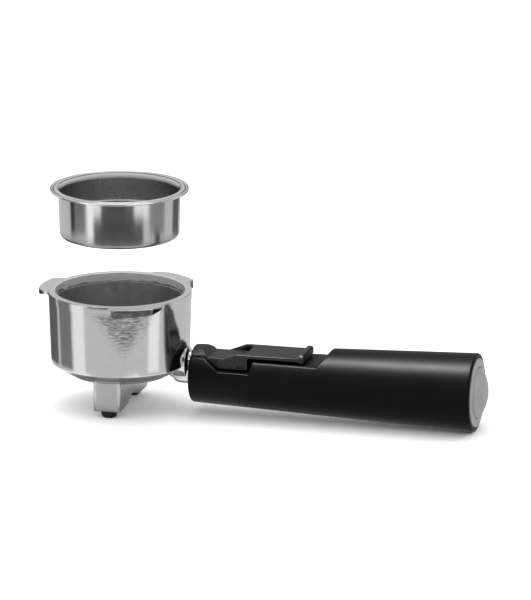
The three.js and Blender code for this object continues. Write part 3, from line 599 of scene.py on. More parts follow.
def drill(r, z0, z1, x=CUP_X, y=0.0):
    return turned("drill", rod(r, z0, z1), x, y, joined=False, steps=48)


def drill_lying(r, x0, x1, z):
    return turned_lying("drill", rod(r, x0, x1), z, joined=False, steps=48)


tang_z = TANG_TOP_Z - TANG_H / 2
below, above = UNDERSIDE_Z - 5 * MM, CAVITY_FLOOR_Z + 1 * MM  # clear of the floor on both sides
cuts = [
    drill(DRAIN_R, below, above, y=DRAIN_Y),
    drill(DRAIN_R, below, above, y=-DRAIN_Y),
    drill(SPOUT_SCREW_HOLE_R, below, above),
    drill(GASKET_SEAT_R, below, UNDERSIDE_Z + 1.1 * MM),
    drill(CARRIER_SCREW_HOLE_R, TANG_TOP_Z - 3.3 * MM, TANG_TOP_Z + 5 * MM, x=CARRIER_SCREW_X),
    drill_lying(TIE_BOLT_HOLE_R, TANG_END_X - 13 * MM, TANG_END_X + 5 * MM, tang_z),
]
combined(cup, cuts, "DIFFERENCE")
stands_for(cup, "holder_cup", "holder")

# %% [markdown]
# ## Double spout and its soft tips
#
# The spout is a narrow block with a leg at each end and a shallow arch between them. It is made
# from its side view, trimmed by a plan with large corner radii, and then every remaining edge
# gets a small radius from a bevel, which shows as a bright line on the satin casting.

# %% Spout block
SPOUT_HALF_LENGTH, SPOUT_HALF_WIDTH = 22.8 * MM, 6.2 * MM
SPOUT_CORNER_R = 1.9 * MM
LEG_LENGTH, ARCH_RISE = 13.3 * MM, 3.5 * MM
OUTLET_Y, OUTLET_R = 18.2 * MM, 1.9 * MM
TIP_R, TIP_INSERT = 3.45 * MM, 4.5 * MM
SPOUT_DRAFT = 0.2 * MM
SPOUT_EDGE = 0.5 * MM
JOINT_LINE = 0.08 * MM
TROUGH_HALF, TROUGH_DEEP = 2.6 * MM, 5 * MM
leg_z, spout_top = spout_low.z, spout_high.z
leg_inner = SPOUT_HALF_LENGTH - LEG_LENGTH
arch_r = (leg_inner**2 + ARCH_RISE**2) / (2 * ARCH_RISE)
arch_half = asin(leg_inner / arch_r)
stock_top = spout_top + 3 * MM  # the cup's foot trims the stock above the spout's top
stock_end = SPOUT_HALF_LENGTH * 1.2
side_view = [(-stock_end, stock_top), (-stock_end, leg_z)]
side_view += [
    (-arch_r * sin(a), leg_z + ARCH_RISE - arch_r * (1 - cos(a)))
    for a in arc(arch_half, -arch_half, 24)
]
side_view += [(stock_end, leg_z), (stock_end, stock_top)]
spout_wall = prism("spout_side_view", side_view, (CUP_X - 8 * MM, CUP_X + 8 * MM), axis=0)
plan = rectangle(
    (CUP_X - SPOUT_HALF_WIDTH, -SPOUT_HALF_LENGTH),
    (CUP_X + SPOUT_HALF_WIDTH, SPOUT_HALF_LENGTH),
    SPOUT_CORNER_R,
    steps=8,
)
spout = prism("spout", plan, (leg_z - 2 * MM, stock_top), axis=2)
combined(spout, [spout_wall], "INTERSECT")
edged(spout, SPOUT_EDGE, segments=4, angle=35)
seat = UNDERSIDE_Z - JOINT_LINE
cup_foot = turned(
    "cup_foot",
    [
        (0, seat),
        (UNDERSIDE_R, seat),
        (CUP_FOOT_R, seat + FOOT_RISE),
        (CUP_FOOT_R, seat + 12 * MM),
        (0, seat + 12 * MM),
    ],
    joined=False,
    steps=192,
)
combined(spout, [cup_foot], "DIFFERENCE")
for vertex in spout.data.vertices:  # the legs get a little narrower downwards
    down = (spout_top - vertex.co.z) / (spout_top - leg_z)
    vertex.co.x = CUP_X + (vertex.co.x - CUP_X) * (1 - SPOUT_DRAFT * down / SPOUT_HALF_WIDTH)
    vertex.co.y *= 1 - SPOUT_DRAFT * down / SPOUT_HALF_LENGTH
cuts = [drill(SPOUT_SCREW_HOLE_R, spout_top - 6 * MM, spout_top + 2 * MM)]
for side in (-1, 1):
    near, far = sorted((side * (DRAIN_Y - DRAIN_R), side * (OUTLET_Y + OUTLET_R)))
    cuts.append(
        block(
            "trough",
            (CUP_X - TROUGH_HALF, near, spout_top - TROUGH_DEEP),
            (CUP_X + TROUGH_HALF, far, spout_top + 2 * MM),
        )
    )
    cuts.append(drill(OUTLET_R, -1 * MM, spout_top - 4 * MM, y=side * OUTLET_Y))
    cuts.append(drill(TIP_R + GAP, -1 * MM, leg_z + TIP_INSERT + GAP, y=side * OUTLET_Y))
combined(spout, cuts, "DIFFERENCE")
stands_for(spout, "spout_block", "holder")

# %% Outlet tips
TIP_WALL = 1.3 * MM
TIP_ROUND = 1.7 * MM
for node, side in (("outlet_tip_front", -1), ("outlet_tip_rear", 1)):
    tip_low, tip_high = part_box(node)
    bore = TIP_R - TIP_WALL
    tip = turned(
        node.replace("outlet_", "soft_"),
        softened([
            (bore, tip_low.z, 0.25 * MM),
            (TIP_R - 0.55 * MM, tip_low.z, 0.5 * MM),
            (TIP_R, tip_low.z + TIP_ROUND, 1.2 * MM),
            (TIP_R, tip_high.z, 0.3 * MM),
            (bore, tip_high.z, 0.3 * MM),
        ], steps=5),
        y=side * OUTLET_Y,
        steps=64,
    )
    stands_for(tip, node, "holder")

# %% [markdown]
# ## Handle
#
# The handle is a tapered moulding with a recess along its top for the clip. As a turned shape cut
# by a stepped profile, it can be written as one radius for every angle and length: the taper, or
# the recess floor where that is lower. Blending the two over a small distance rounds the recess's
# edge, as a moulded edge is, with no cutting at all.

# %% The recess's side view
TAPER = (HANDLE_END_R - HANDLE_FRONT_R) / (HANDLE_END_X - HANDLE_X)
POCKET_H, RECESS_H = 4.5 * MM, 9.35 * MM
lip_end_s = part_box("clip_lever")[1].x - HANDLE_X
recess_end_s = lip_end_s + 6 * MM
RAMP_LENGTH, RAMP_RISE = 4.5 * MM, 5.4 * MM


def handle_r(s):
    return HANDLE_FRONT_R + TAPER * s


recess_line = softened([
    (-1 * MM, PARTING_H),
    (6.4 * MM, PARTING_H, 0.5 * MM),
    (13.4 * MM, POCKET_H, 0.8 * MM),
    (27.3 * MM, POCKET_H, 0.5 * MM),
    (28.4 * MM, RECESS_H, 0.5 * MM),
    (recess_end_s, RECESS_H, 0.8 * MM),
    (recess_end_s + 2 * RAMP_LENGTH, RECESS_H + 2 * RAMP_RISE),
], closed=False, steps=5)


def spread(line, step):
    """The line with extra points so that none is further than step from the next."""
    points = [line[0]]
    for (x0, y0), (x1, y1) in zip(line, line[1:]):
        parts = max(1, ceil(hypot(x1 - x0, y1 - y0) / step))
        points += list(zip(arc(x0, x1, parts), arc(y0, y1, parts)))[1:]
    return points


stations = [(s, h) for s, h in spread(recess_line, 0.4 * MM) if s > 0.02 * MM]
print(len(stations), "stations along the recess, which ends at", round(recess_end_s / MM, 1), "mm")

# %% Handle skin
RECESS_SOFT = 1.12 * MM
RECESS_COS = 0.15  # cosine of the widest angle from the top that the recess can reach
HANDLE_EDGE = 1 * MM
CAP_SEAT_R, CAP_SEAT_DEEP = 15.1 * MM, 2 * MM
HANDLE_WALL = 2.8 * MM
BULKHEAD_S = 64.7 * MM
handle_length = HANDLE_END_X - HANDLE_X
TOP_ARC = 78  # degrees either side of the top, where columns are a degree apart
around = [radians(d) for d in range(-TOP_ARC, TOP_ARC + 1)]
around += [radians(d) for d in arc(TOP_ARC, 360 - TOP_ARC, 60)[1:-1]]


def lower_of(a, b, soft):
    """The smaller of two lengths, blended where they are close."""
    h = max(0.0, soft - abs(a - b)) / soft
    return min(a, b) - h * h * soft / 4


def ring_row(s, radii):
    return [lying(r, a, HANDLE_X + s) for a, r in zip(around, radii)]


def handle_row(s, h=None, trim=0.0):
    """Points round the handle at s, under the recess floor at height h above the axis."""
    radii = [handle_r(s) - trim] * len(around)
    if h is not None:
        for i, a in enumerate(around):
            if cos(a) > RECESS_COS:
                radii[i] = lower_of(radii[i], (h - trim * 0.4) / cos(a), RECESS_SOFT)
    return ring_row(s, radii)


def toward_axis(row, share):
    return [(x, y * share, AXIS_Z + (z - AXIS_Z) * share) for x, y, z in row]


front = handle_row(0, PARTING_H, HANDLE_EDGE)
rows = [toward_axis(front, share) for share in (0, 0.35, 0.7, 0.9, 0.97)] + [front]
rows += [handle_row(s, PARTING_H, trim) for s, trim in quarter_round(HANDLE_EDGE, 5)[1:]]
last = recess_end_s + 2 * RAMP_LENGTH
rows += [handle_row(s, h) for s, h in stations if s > HANDLE_EDGE * 1.05]
rows += [handle_row(s) for s in arc(last, handle_length - HANDLE_EDGE, 30)[1:]]
for trim, left in quarter_round(HANDLE_EDGE, 6)[1:]:
    rows.append(handle_row(handle_length - left, trim=trim))
hollow_profile = softened([
    (handle_length, HANDLE_END_R - HANDLE_EDGE),
    (handle_length, CAP_SEAT_R, 0.25 * MM),
    (handle_length - CAP_SEAT_DEEP, CAP_SEAT_R),
    (handle_length - CAP_SEAT_DEEP, handle_r(handle_length) - HANDLE_WALL),
    (BULKHEAD_S, handle_r(BULKHEAD_S) - HANDLE_WALL, 1 * MM),
    (BULKHEAD_S, 0),
], closed=False)[1:]
rows += [ring_row(s, [r] * len(around)) for s, r in hollow_profile]
handle = skin("handle", rows, sharp=50)

# %% Slots and holes inside the handle
CARRIER_HALF = 7.6 * MM
CARRIER_FRONT_S = 4.3 * MM
POCKET_Z = AXIS_Z + POCKET_H
cuts = [
    block(
        "rib_slot",
        (HANDLE_X + CARRIER_FRONT_S - GAP, -CARRIER_HALF - GAP, POCKET_Z + 0.02 * MM),
        (HANDLE_X + 14.4 * MM, CARRIER_HALF + GAP, AXIS_Z + 20 * MM),
    ),
    block(
        "tang_socket",
        (HANDLE_X - 5 * MM, -TANG_HALF - GAP, TANG_TOP_Z - TANG_H - GAP),
        (TANG_END_X + 2 * MM, TANG_HALF + GAP, TANG_TOP_Z + GAP),
    ),
    drill_lying(TIE_BOLT_HOLE_R, TANG_END_X - 1 * MM, HANDLE_X + BULKHEAD_S + 1 * MM, tang_z),
    drill(CARRIER_SCREW_HOLE_R, TANG_TOP_Z, POCKET_Z + 5 * MM, x=CARRIER_SCREW_X),
]
combined(handle, cuts, "DIFFERENCE", sharp=50)
stands_for(handle, "handle_shell", "holder")

# %% [markdown]
# ## Lever carrier
#
# A separate textured insert closes the front of the recess. It has a round-topped block that
# carries on the handle's taper, a ramp, and a flat bed for the clip. Its sections across the
# handle all have the same kind of outline, so it is lofted from front to back.

# %% Carrier
BLOCK_TOP_S, BLOCK_RAMP_S = 4.7 * MM, 7.8 * MM
_, carrier_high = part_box("lever_carrier")
carrier_length = carrier_high.x - HANDLE_X
bed_line = softened([
    (0, 14 * MM),
    (BLOCK_TOP_S - 0.9 * MM, 14.1 * MM),
    (BLOCK_RAMP_S, RECESS_H, 0.5 * MM),
    (carrier_length, RECESS_H),
], closed=False)
across = arc(-1, 1, 48)
SIDE_EDGE, BED_SOFT = 0.3 * MM, 0.9 * MM


def carrier_row(s, lean=0.0, trim=0.0):
    """One section: a domed or flat top with soft side edges, and straight sides below."""
    bottom = (PARTING_H + GAP) if s < CARRIER_FRONT_S else POCKET_H + GAP
    bed = between(s, bed_line)
    r = handle_r(s) - trim
    half = min(CARRIER_HALF, sqrt(r * r - (PARTING_H + GAP) ** 2)) - trim * 0.2
    row = []
    for share in across:
        y = half * sin(share * QUARTER)
        height = lower_of(sqrt(max(r * r - y * y, 0)), bed, BED_SOFT)
        inset = max(0.0, abs(y) - (half - SIDE_EDGE))
        height -= SIDE_EDGE - sqrt(max(SIDE_EDGE**2 - inset**2, 0))
        row.append((s + lean * max(0, height - bottom), y, max(height, bottom + 0.01 * MM)))
    for y in (half, half * 0.5, -half * 0.5, -half):
        row.append((s, y, bottom))
    return [(HANDLE_X + s, y, AXIS_Z + z) for s, y, z in row]


sections = [carrier_row(s, trim=trim) for s, trim in quarter_round(HANDLE_EDGE, 5)]
# Sections in mm from the handle's front, close together down the ramp.
spots = [1.5, 2.2, 3, 3.6, 4.0, 4.28, 4.32] + [4.5 + 0.18 * k for k in range(23)]
spots += [8.8, 9.4, 12, 16, 19, 22, 24, 26]
sections += [carrier_row(s * MM) for s in spots]
REAR_LEAN, BED_THICK = 1.1 * MM, 4.55 * MM
sections.append(carrier_row(carrier_length - REAR_LEAN, lean=REAR_LEAN / BED_THICK))
carrier = skin("clip_carrier", sections, capped=True, sharp=50)

carrier_top = AXIS_Z + RECESS_H
PIN_HOLE_R, SCREW_HEAD_R = 1.3 * MM, 3.2 * MM
countersink = [
    (0, TANG_TOP_Z - 4 * MM),
    (CARRIER_SCREW_HOLE_R, TANG_TOP_Z - 4 * MM),
    (CARRIER_SCREW_HOLE_R, carrier_top - 2.1 * MM),
    (SCREW_HEAD_R, carrier_top - 0.7 * MM),
    (SCREW_HEAD_R, carrier_top + 5 * MM),
    (0, carrier_top + 5 * MM),
]


def pin_hole(half_length, place):
    """A drill that lies across the handle."""
    made = drill_lying(PIN_HOLE_R, -half_length, half_length, z=0)
    made.data.transform(Matrix.Translation(place) @ Matrix.Rotation(QUARTER, 4, "Z"))
    return made


screw_hole = turned("screw_hole", countersink, x=CARRIER_SCREW_X, joined=False, steps=48)
combined(carrier, [pin_hole(20 * MM, PIN), screw_hole], "DIFFERENCE", sharp=50)
stands_for(carrier, "lever_carrier", "holder")

# %% [markdown]
# ## Clip lever
#
# The clip is a moulded fork: two ears hang on a cross pin, and a thumb plate joins them and ends
# in an upturned lip, which hooks over the basket's rim when the clip is flipped forward. It is
# made as its side view across the full width, then the gap between the ears is cut out with
# round corners, and a bevel softens every edge.

# %% Clip lever
EAR_INNER, EAR_OUTER = 7.9 * MM, 9.5 * MM
EAR_NOSE_R = 2.1 * MM
PLATE_TOP, PLATE_THICK = 5 * MM, 1.8 * MM
SHOULDER_T, EAR_REAR_T, PLATE_FRONT_T = 7 * MM, 12.1 * MM, 10.5 * MM
LIP_THICK, LIP_RISE, LIP_DROP = 2.3 * MM, 1.6 * MM, 0.4 * MM
LIP_CORNER_R, LEVER_EDGE = 2.3 * MM, 0.5 * MM
lip_t = lip_end_s + HANDLE_X - PIN.x - LIP_THICK
EAR_BOTTOM = -1.9 * MM
NOSE_END = radians(245)
plate_under = PLATE_TOP - PLATE_THICK
slope = atan2(PLATE_TOP, SHOULDER_T)
crown = QUARTER + slope - asin(EAR_NOSE_R / hypot(PLATE_TOP, SHOULDER_T))
nose = [spoke(EAR_NOSE_R, a) for a in arc(crown, NOSE_END, 12)]
lever_line = softened([
    (EAR_REAR_T, EAR_BOTTOM, 0.5 * MM),
    (EAR_REAR_T, plate_under, 0.5 * MM),
    (lip_t, plate_under, 0.3 * MM),
    (lip_t, plate_under - LIP_DROP, 0.1 * MM),
    (lip_t + LIP_THICK, plate_under - LIP_DROP, 0.6 * MM),
    (lip_t + LIP_THICK, PLATE_TOP + LIP_RISE, 0.95 * MM),
    (lip_t, PLATE_TOP + LIP_RISE, 0.9 * MM),
    (lip_t - 0.5 * MM, PLATE_TOP, 0.6 * MM),
    (SHOULDER_T, PLATE_TOP, 1.6 * MM),
    *nose,
    (0, EAR_BOTTOM),
], steps=6)
lever = prism("clip", lever_line, (-EAR_OUTER, EAR_OUTER), axis=1)
fork = softened([
    (-6 * MM, -EAR_INNER),
    (PLATE_FRONT_T, -EAR_INNER, 3 * MM),
    (PLATE_FRONT_T, EAR_INNER, 3 * MM),
    (-6 * MM, EAR_INNER),
], steps=8)
fork_cut = prism("fork_cut", fork, (-6 * MM, 8 * MM), axis=2)
below_cut = block(
    "below_cut",
    (-6 * MM, -EAR_INNER, -6 * MM),
    (EAR_REAR_T + 0.5 * MM, EAR_INNER, plate_under),
)
combined(lever, [fork_cut, below_cut], "DIFFERENCE")
# The lip's top corners are round, seen along the handle.
form_half, form_top = EAR_OUTER - 0.01 * MM, PLATE_TOP + LIP_RISE - 0.01 * MM
lip_form = softened([
    (-form_half, -6 * MM),
    (form_half, -6 * MM),
    (form_half, form_top, LIP_CORNER_R),
    (-form_half, form_top, LIP_CORNER_R),
], steps=10)
lever_form = prism("lever_form", lip_form, (-10 * MM, lip_t + 10 * MM), axis=0)
combined(lever, [lever_form], "INTERSECT")
edged(lever, LEVER_EDGE, segments=4, angle=40)

# %% The clip's small details
NUB_T, NUB_N, NUB_R, NUB_OUT = 4.3 * MM, -0.4 * MM, 0.7 * MM, 0.3 * MM
WINDOW_T, WINDOW_SIZE, WINDOW_DEEP = 8.3 * MM, (2.5 * MM, 1.1 * MM), 0.4 * MM
FRAME_WIDTH, FRAME_OUT = 0.45 * MM, 0.28 * MM
nubs, windows = [], []
for side in (-1, 1):
    nub = turned(
        "nub",
        softened([
            (0, EAR_OUTER - 0.6 * MM),
            (NUB_R, EAR_OUTER - 0.6 * MM),
            (NUB_R, EAR_OUTER + NUB_OUT, 0.18 * MM),
            (0, EAR_OUTER + NUB_OUT),
        ], closed=False),
        x=0,
        joined=False,
        steps=32,
    )
    nub.data.transform(Matrix.Rotation(-side * QUARTER, 4, "X"))
    nub.data.transform(Matrix.Translation((NUB_T, 0, NUB_N)))
    nubs.append(nub)
    for name, border, inner, outer, found in (
        ("window", 0, WINDOW_DEEP, 1 * MM, windows),
        ("window_frame", FRAME_WIDTH, WINDOW_DEEP, FRAME_OUT, nubs),
    ):
        half_t, half_n = WINDOW_SIZE[0] / 2 + border, WINDOW_SIZE[1] / 2 + border
        corners = rectangle(
            (WINDOW_T - half_t, NUB_N - half_n), (WINDOW_T + half_t, NUB_N + half_n), 0.3 * MM
        )
        depths = sorted((side * (EAR_OUTER - inner), side * (EAR_OUTER + outer)))
        found.append(prism(name, corners, depths, axis=1))
EAR_SKIN = 0.5 * MM
FLAT_FACE = 12 * MM * MM  # a face larger than this is flat, and smooth shading would crease it
combined(lever, nubs, "UNION")
combined(lever, [*windows, pin_hole(EAR_OUTER - EAR_SKIN, (0, 0, 0))], "DIFFERENCE")
for face in lever.data.polygons:
    face.use_smooth = face.area < FLAT_FACE
lever.data.transform(Matrix.Translation(PIN))
stands_for(lever, "clip_lever", "clip")

# %% [markdown]
# ## End cap
#
# A domed silver cap closes the handle's rear end. A fine groove separates its flat flange from the
# dome. It is one turned profile, with a skirt that snaps into the hollow.

# %% End cap
CAP_R = 14.8 * MM
DOME_R = 11 * MM
DOME_SPHERE_R = 19 * MM
CAP_WALL = 1.6 * MM
cap_face = HANDLE_END_X + 0.6 * MM
cap_seat = HANDLE_END_X - CAP_SEAT_DEEP + GAP
skirt_x = cap_low.x
skirt_r = handle_r(skirt_x - HANDLE_X) - HANDLE_WALL - GAP
ring_x = skirt_x + 4 * MM
ring_r = skirt_r - 0.65 * MM
groove_half = 1.1 * MM
dome_middle = cap_high.x - DOME_SPHERE_R
dome_half = asin((DOME_R - 0.35 * MM) / DOME_SPHERE_R)
cap_profile = softened([
    (0, cap_seat + 1 * MM),
    (ring_r - groove_half - CAP_WALL, cap_seat + 1 * MM, 0.5 * MM),
    (ring_r - groove_half - CAP_WALL, skirt_x, 0.3 * MM),
    (skirt_r, skirt_x, 0.4 * MM),
    (skirt_r, ring_x - groove_half),
    (ring_r - groove_half, ring_x - groove_half),
    (ring_r - groove_half, ring_x + groove_half),
    (skirt_r, ring_x + groove_half),
    (skirt_r, cap_seat),
    (CAP_R, cap_seat),
    (CAP_R, cap_face, 0.45 * MM),
    (DOME_R + 0.3 * MM, cap_face, 0.12 * MM),
    (DOME_R + 0.05 * MM, cap_face - 0.35 * MM, 0.1 * MM),
    (DOME_R - 0.2 * MM, cap_face - 0.3 * MM, 0.1 * MM),
], closed=False)[:-1]
cap_profile += [
    (DOME_SPHERE_R * sin(a), dome_middle + DOME_SPHERE_R * cos(a))
    for a in arc(dome_half, 0, 24)
]
cap = turned_lying("silver_cap", cap_profile, joined=False, steps=144)
stands_for(cap, "end_cap", "holder")

# %% [markdown]
# ## Shader sums as plain expressions
#
# A finish is easier to read as sums than as wires. This class holds one socket and turns each
# operator into a node: Math nodes for numbers, Vector Math nodes for vectors.

# %% Sockets that can be added and multiplied
class Wire:
    def __init__(self, finish, socket):
        self.finish, self.socket = finish, socket

    def sum(self, operation, *values):
        vector = any(getattr(v, "socket", None) and v.socket.type == "VECTOR" for v in values)
        kind = "ShaderNodeVectorMath" if vector else "ShaderNodeMath"
        return self.finish.node(kind, {"operation": operation}, dict(enumerate(values)))

    def __add__(self, other):
        return self.sum("ADD", self, other)

    __radd__ = __add__

    def __sub__(self, other):
        return self.sum("SUBTRACT", self, other)

    def __rsub__(self, other):
        return self.sum("SUBTRACT", other, self)

    def __mul__(self, other):
        return self.sum("MULTIPLY", self, other)

    def __abs__(self):
        return self.sum("ABSOLUTE", self)


class Finish:
    """One material: a Principled shader whose sockets are given as wires or as constants."""

    def __init__(self, name):
        self.material = bpy.data.materials.new(name)
        self.material.use_nodes = True
        self.tree = self.material.node_tree
        self.shader = self.tree.nodes["Principled BSDF"]
        self.found = None

    @property
    def place(self):
        """Where the shaded point is on the object, made once and only if it is asked for."""
        if self.found is None:
            self.found = self.node("ShaderNodeTexCoord", output="Object")
        return self.found

    def node(self, kind, settings=None, values=None, output=0):
        made = self.tree.nodes.new(kind)
        for name, value in (settings or {}).items():
            if name == "stops":
                ramp = made.color_ramp.elements
                while len(ramp) < len(value):
                    ramp.new(0.5)
                for stop, (position, shade) in zip(ramp, value):
                    stop.position, stop.color = position, shade
            else:
                setattr(made, name, value)
        self.connect(made, values or {})
        return Wire(self, made.outputs[output])

    def feed(self, socket, value):
        if isinstance(value, Wire):
            self.tree.links.new(value.socket, socket)
        else:
            socket.default_value = (*value, 1) if socket.type == "RGBA" else value

    def connect(self, made, values):
        for name, value in values.items():
            self.feed(made.inputs[name], value)

    def noise(self, size, detail=2.0, stretch=(1, 1, 1)):
        """Noise from 0 to 1 whose blotches are about this size, in metres."""
        place = self.place if stretch == (1, 1, 1) else self.place * stretch
        return self.node(
            "ShaderNodeTexNoise", values={"Vector": place, "Scale": 1 / size, "Detail": detail}
        )

    def ramp(self, value, low, high):
        """0 below low, 1 above high, and smooth between."""
        return self.node(
            "ShaderNodeMapRange",
            {"interpolation_type": "SMOOTHSTEP"},
            {"Value": value, "From Min": low, "From Max": high},
        )

    def blend(self, share, a, b):
        """Colour a where share is 0, and b where it is 1."""
        made = self.tree.nodes.new("ShaderNodeMix")
        made.data_type = "RGBA"
        colours = [i for i in made.inputs if i.type == "RGBA"]
        for socket, value in ((made.inputs[0], share), (colours[0], a), (colours[1], b)):
            self.feed(socket, value)
        return Wire(self, next(o for o in made.outputs if o.type == "RGBA"))

    def axis(self, letter):
        return self.node("ShaderNodeSeparateXYZ", values={0: self.place}, output=letter)

    def bump(self, height, depth):
        """A normal from a height of 0 to 1 that stands for this depth, in metres."""
        return self.node("ShaderNodeBump", values={"Height": height, "Distance": depth})

    def from_axis(self, x, y):
        """Distance from the upright axis of cup and basket."""
        return self.node("ShaderNodeMath", {"operation": "SQRT"}, {0: x * x + y * y})

    def set(self, **values):
        self.connect(self.shader, {key.replace("_", " "): value for key, value in values.items()})
        print(self.material.name, len(self.tree.nodes), "nodes")
        return self


# %% [markdown]
# ## Polished and rough-cast aluminium
#
# The cup is one casting with three surfaces: a polished outside with the faint ripple that
# hand polishing leaves, a satin machined rim, and a hollow left as it came from the mould, darker
# and pitted. Height and distance from the axis tell them apart.

# %% Cup finish
WEDGE_ANGLE = radians(-71)
WEDGE_HALF, WEDGE_NARROWS = 14.5 * MM, 0.72  # half its width at the top, and its loss per depth
BAND_DEEP, HOLLOW_R, HOLLOW_FOOT_Z = 3.6 * MM, 28.35 * MM, 17 * MM
alu = Finish("polished_casting")
away_x = alu.axis("X") - CUP_X
cup_y, cup_z = alu.axis("Y"), alu.axis("Z")
from_axis = alu.from_axis(away_x, cup_y)
ragged = (alu.noise(5 * MM) - 0.5) * (3.4 * MM)
within_r = 1 - alu.ramp(from_axis, HOLLOW_R, HOLLOW_R + 0.1 * MM)
hollow = within_r * alu.ramp(cup_z, HOLLOW_FOOT_Z, HOLLOW_FOOT_Z + 0.4 * MM)
raw = hollow * (1 - alu.ramp(cup_z + ragged, RIM_Z - BAND_DEEP, RIM_Z - BAND_DEEP + 0.4 * MM))
band = hollow * (1 - raw)
satin_top = alu.ramp(cup_z, RIM_Z - 0.12 * MM, RIM_Z - 0.03 * MM)
cloud = alu.noise(3 * MM, detail=4)
grain = alu.noise(0.35 * MM, detail=3)
ripple = alu.noise(9 * MM, detail=1, stretch=(1, 1, 0.45))
polished = alu.blend(cloud, (0.72, 0.72, 0.735), (0.80, 0.80, 0.81))
cast = alu.blend(cloud, (0.34, 0.34, 0.35), (0.66, 0.66, 0.67))
# Below the front lug a wedge of painted reflection darkens the wall: the lug's shadow as the
# polished wall mirrors it, broken by short level strokes.
wedge_x, wedge_y = spoke(1, WEDGE_ANGLE)
beside = abs(away_x * -wedge_y + cup_y * wedge_x)
facing = alu.ramp(away_x * wedge_x + cup_y * wedge_y, 10 * MM, 20 * MM)
depth = RIM_Z - cup_z
shadow_strokes = alu.noise(1.1 * MM, detail=3, stretch=(0.4, 0.4, 1.7))
lug_shadow_reflection = alu.ramp(WEDGE_HALF - beside - depth * WEDGE_NARROWS + ragged, -5 * MM, 4 * MM)
lug_shadow_reflection = lug_shadow_reflection * facing * alu.ramp(depth, 2 * MM, 5 * MM) * alu.ramp(shadow_strokes, 0.25, 0.7)
polished = alu.blend(lug_shadow_reflection, polished, (0.2, 0.2, 0.21))
polished = alu.blend(satin_top, polished, (0.88, 0.88, 0.89))
# The lugs' outer faces get a darker colour below their top edge: a painted dark reflection.
lug_face_reflection = alu.ramp(from_axis, 33 * MM, 33.4 * MM) * (
    1 - alu.ramp(cup_z, RIM_Z - 0.7 * MM, RIM_Z - 0.4 * MM)
)
polished = alu.blend(lug_face_reflection * (0.55 + cloud * 0.8), polished, (0.13, 0.13, 0.14))
height = ripple * 1.7 + cloud * 0.12 + grain * 0.06 + raw * grain * 0.9
alu.set(
    Base_Color=alu.blend(raw, polished, cast),
    Metallic=1 - band * 0.5,
    Roughness=0.10 + grain * 0.07 + satin_top * 0.2 + raw * 0.3,
    Normal=alu.bump(height, 0.06 * MM),
)

# %% [markdown]
# ## Satin aluminium, stainless sheet and zinc plate
#
# The spout is tumbled to an even satin. The basket is rolled sheet, bright outside, and darker
# inside, where shade is painted into its colour. Screws are dull zinc.

# %% A finish with a fine grain and a coarse cloud
def grained(name, grain, cloud, dark, light, rough, depth, **plain):
    """The grain, (size, detail), changes gloss and relief, and the cloud changes colour.

    Without a cloud the grain does both. rough is the roughness, then what grain and cloud add."""
    made = Finish(name)
    fine = made.noise(*grain)
    coarse = made.noise(*cloud) if cloud else fine
    roughness = rough[0] + fine * rough[1]
    if len(rough) > 2:
        roughness = roughness + coarse * rough[2]
    return made.set(
        Base_Color=made.blend(coarse, dark, light),
        Roughness=roughness,
        Normal=made.bump(fine, depth),
        **plain,
    )


# %% Spout and zinc finishes
satin = grained(
    "satin_casting",
    (0.25 * MM, 3),
    (6 * MM, 2),
    (0.60, 0.60, 0.615),
    (0.68, 0.68, 0.69),
    (0.30, 0.12),
    0.012 * MM,
    Metallic=1.0,
)
zinc = grained(
    "zinc_plate",
    (0.6 * MM, 3),
    None,
    (0.42, 0.43, 0.45),
    (0.58, 0.59, 0.61),
    (0.3, 0.2),
    0.01 * MM,
    Metallic=1.0,
)

# %% Basket finish, with painted dark lines of shade and reflection on its rim
steel = Finish("stainless_sheet")
off_x = steel.axis("X") - CUP_X
off_y = steel.axis("Y")
steel_r = steel.from_axis(off_x, off_y)
steel_z = steel.axis("Z")
# Painted shade: the basket's inside, below its rim, is given the darker colour.
within = (1 - steel.ramp(steel_r, 25.75 * MM, 25.95 * MM)) * steel.ramp(
    steel_z, basket_floor + 0.35 * MM, basket_floor + 0.45 * MM
)
painted_inner_shade = within * (1 - steel.ramp(steel_z, basket_top - 1.6 * MM, basket_top - 1.1 * MM))
# The inner floor's turned edge gets a painted highlight: the painted shade inside is left off
# there, so it keeps the bright colour.
edge_highlight = steel.ramp(steel_r, 22.8 * MM, 23.3 * MM) * steel.ramp(
    steel_z, screen_high.z - 1.2 * MM, screen_high.z - 0.9 * MM
)
edge_highlight = edge_highlight * (1 - steel.ramp(steel_z, screen_high.z + 0.1 * MM, screen_high.z + 0.3 * MM))
painted_inner_shade = painted_inner_shade * (1 - edge_highlight)
drawn = steel.noise(0.5 * MM, detail=2, stretch=(1, 1, 0.12))
stain = steel.noise(7 * MM, detail=3)
bright = steel.blend(stain, (0.66, 0.66, 0.68), (0.74, 0.74, 0.755))
dull = steel.blend(stain, (0.34, 0.34, 0.35), (0.5, 0.5, 0.51))
# Painted highlight: the rim's top gets a brighter colour than the rest of the sheet.
rim_zone = steel.ramp(steel_z, basket_top - 1.2 * MM, basket_top - 0.9 * MM)
bright = steel.blend(rim_zone, bright, (0.9, 0.9, 0.91))
# Painted shade and reflection: dark lines on the rim's outer bead, in its groove and at its inner
# edge.
RIM_SHADE_LINES = ((29.35 * MM, 0.1 * MM), (28.42 * MM, 0.16 * MM), (26.6 * MM, 0.08 * MM))
LINE_SOFT = 0.14 * MM
for line_r, half in RIM_SHADE_LINES:
    line = (1 - steel.ramp(abs(steel_r - line_r), half, half + LINE_SOFT)) * rim_zone
    bright = steel.blend(line, bright, (0.13, 0.13, 0.14))
steel.set(
    Base_Color=steel.blend(painted_inner_shade, bright, dull),
    Metallic=1.0,
    Roughness=0.12 + drawn * 0.08 + painted_inner_shade * 0.12,
    Normal=steel.bump(drawn, 0.004 * MM),
)

# %% [markdown]
# ## Black mouldings, rubber and silver paint
#
# The handle is smooth satin plastic. The clip and its carrier have a spark-eroded mould texture,
# so they look greyer. The tips are matt rubber, and the cap is painted silver over a fine grain.

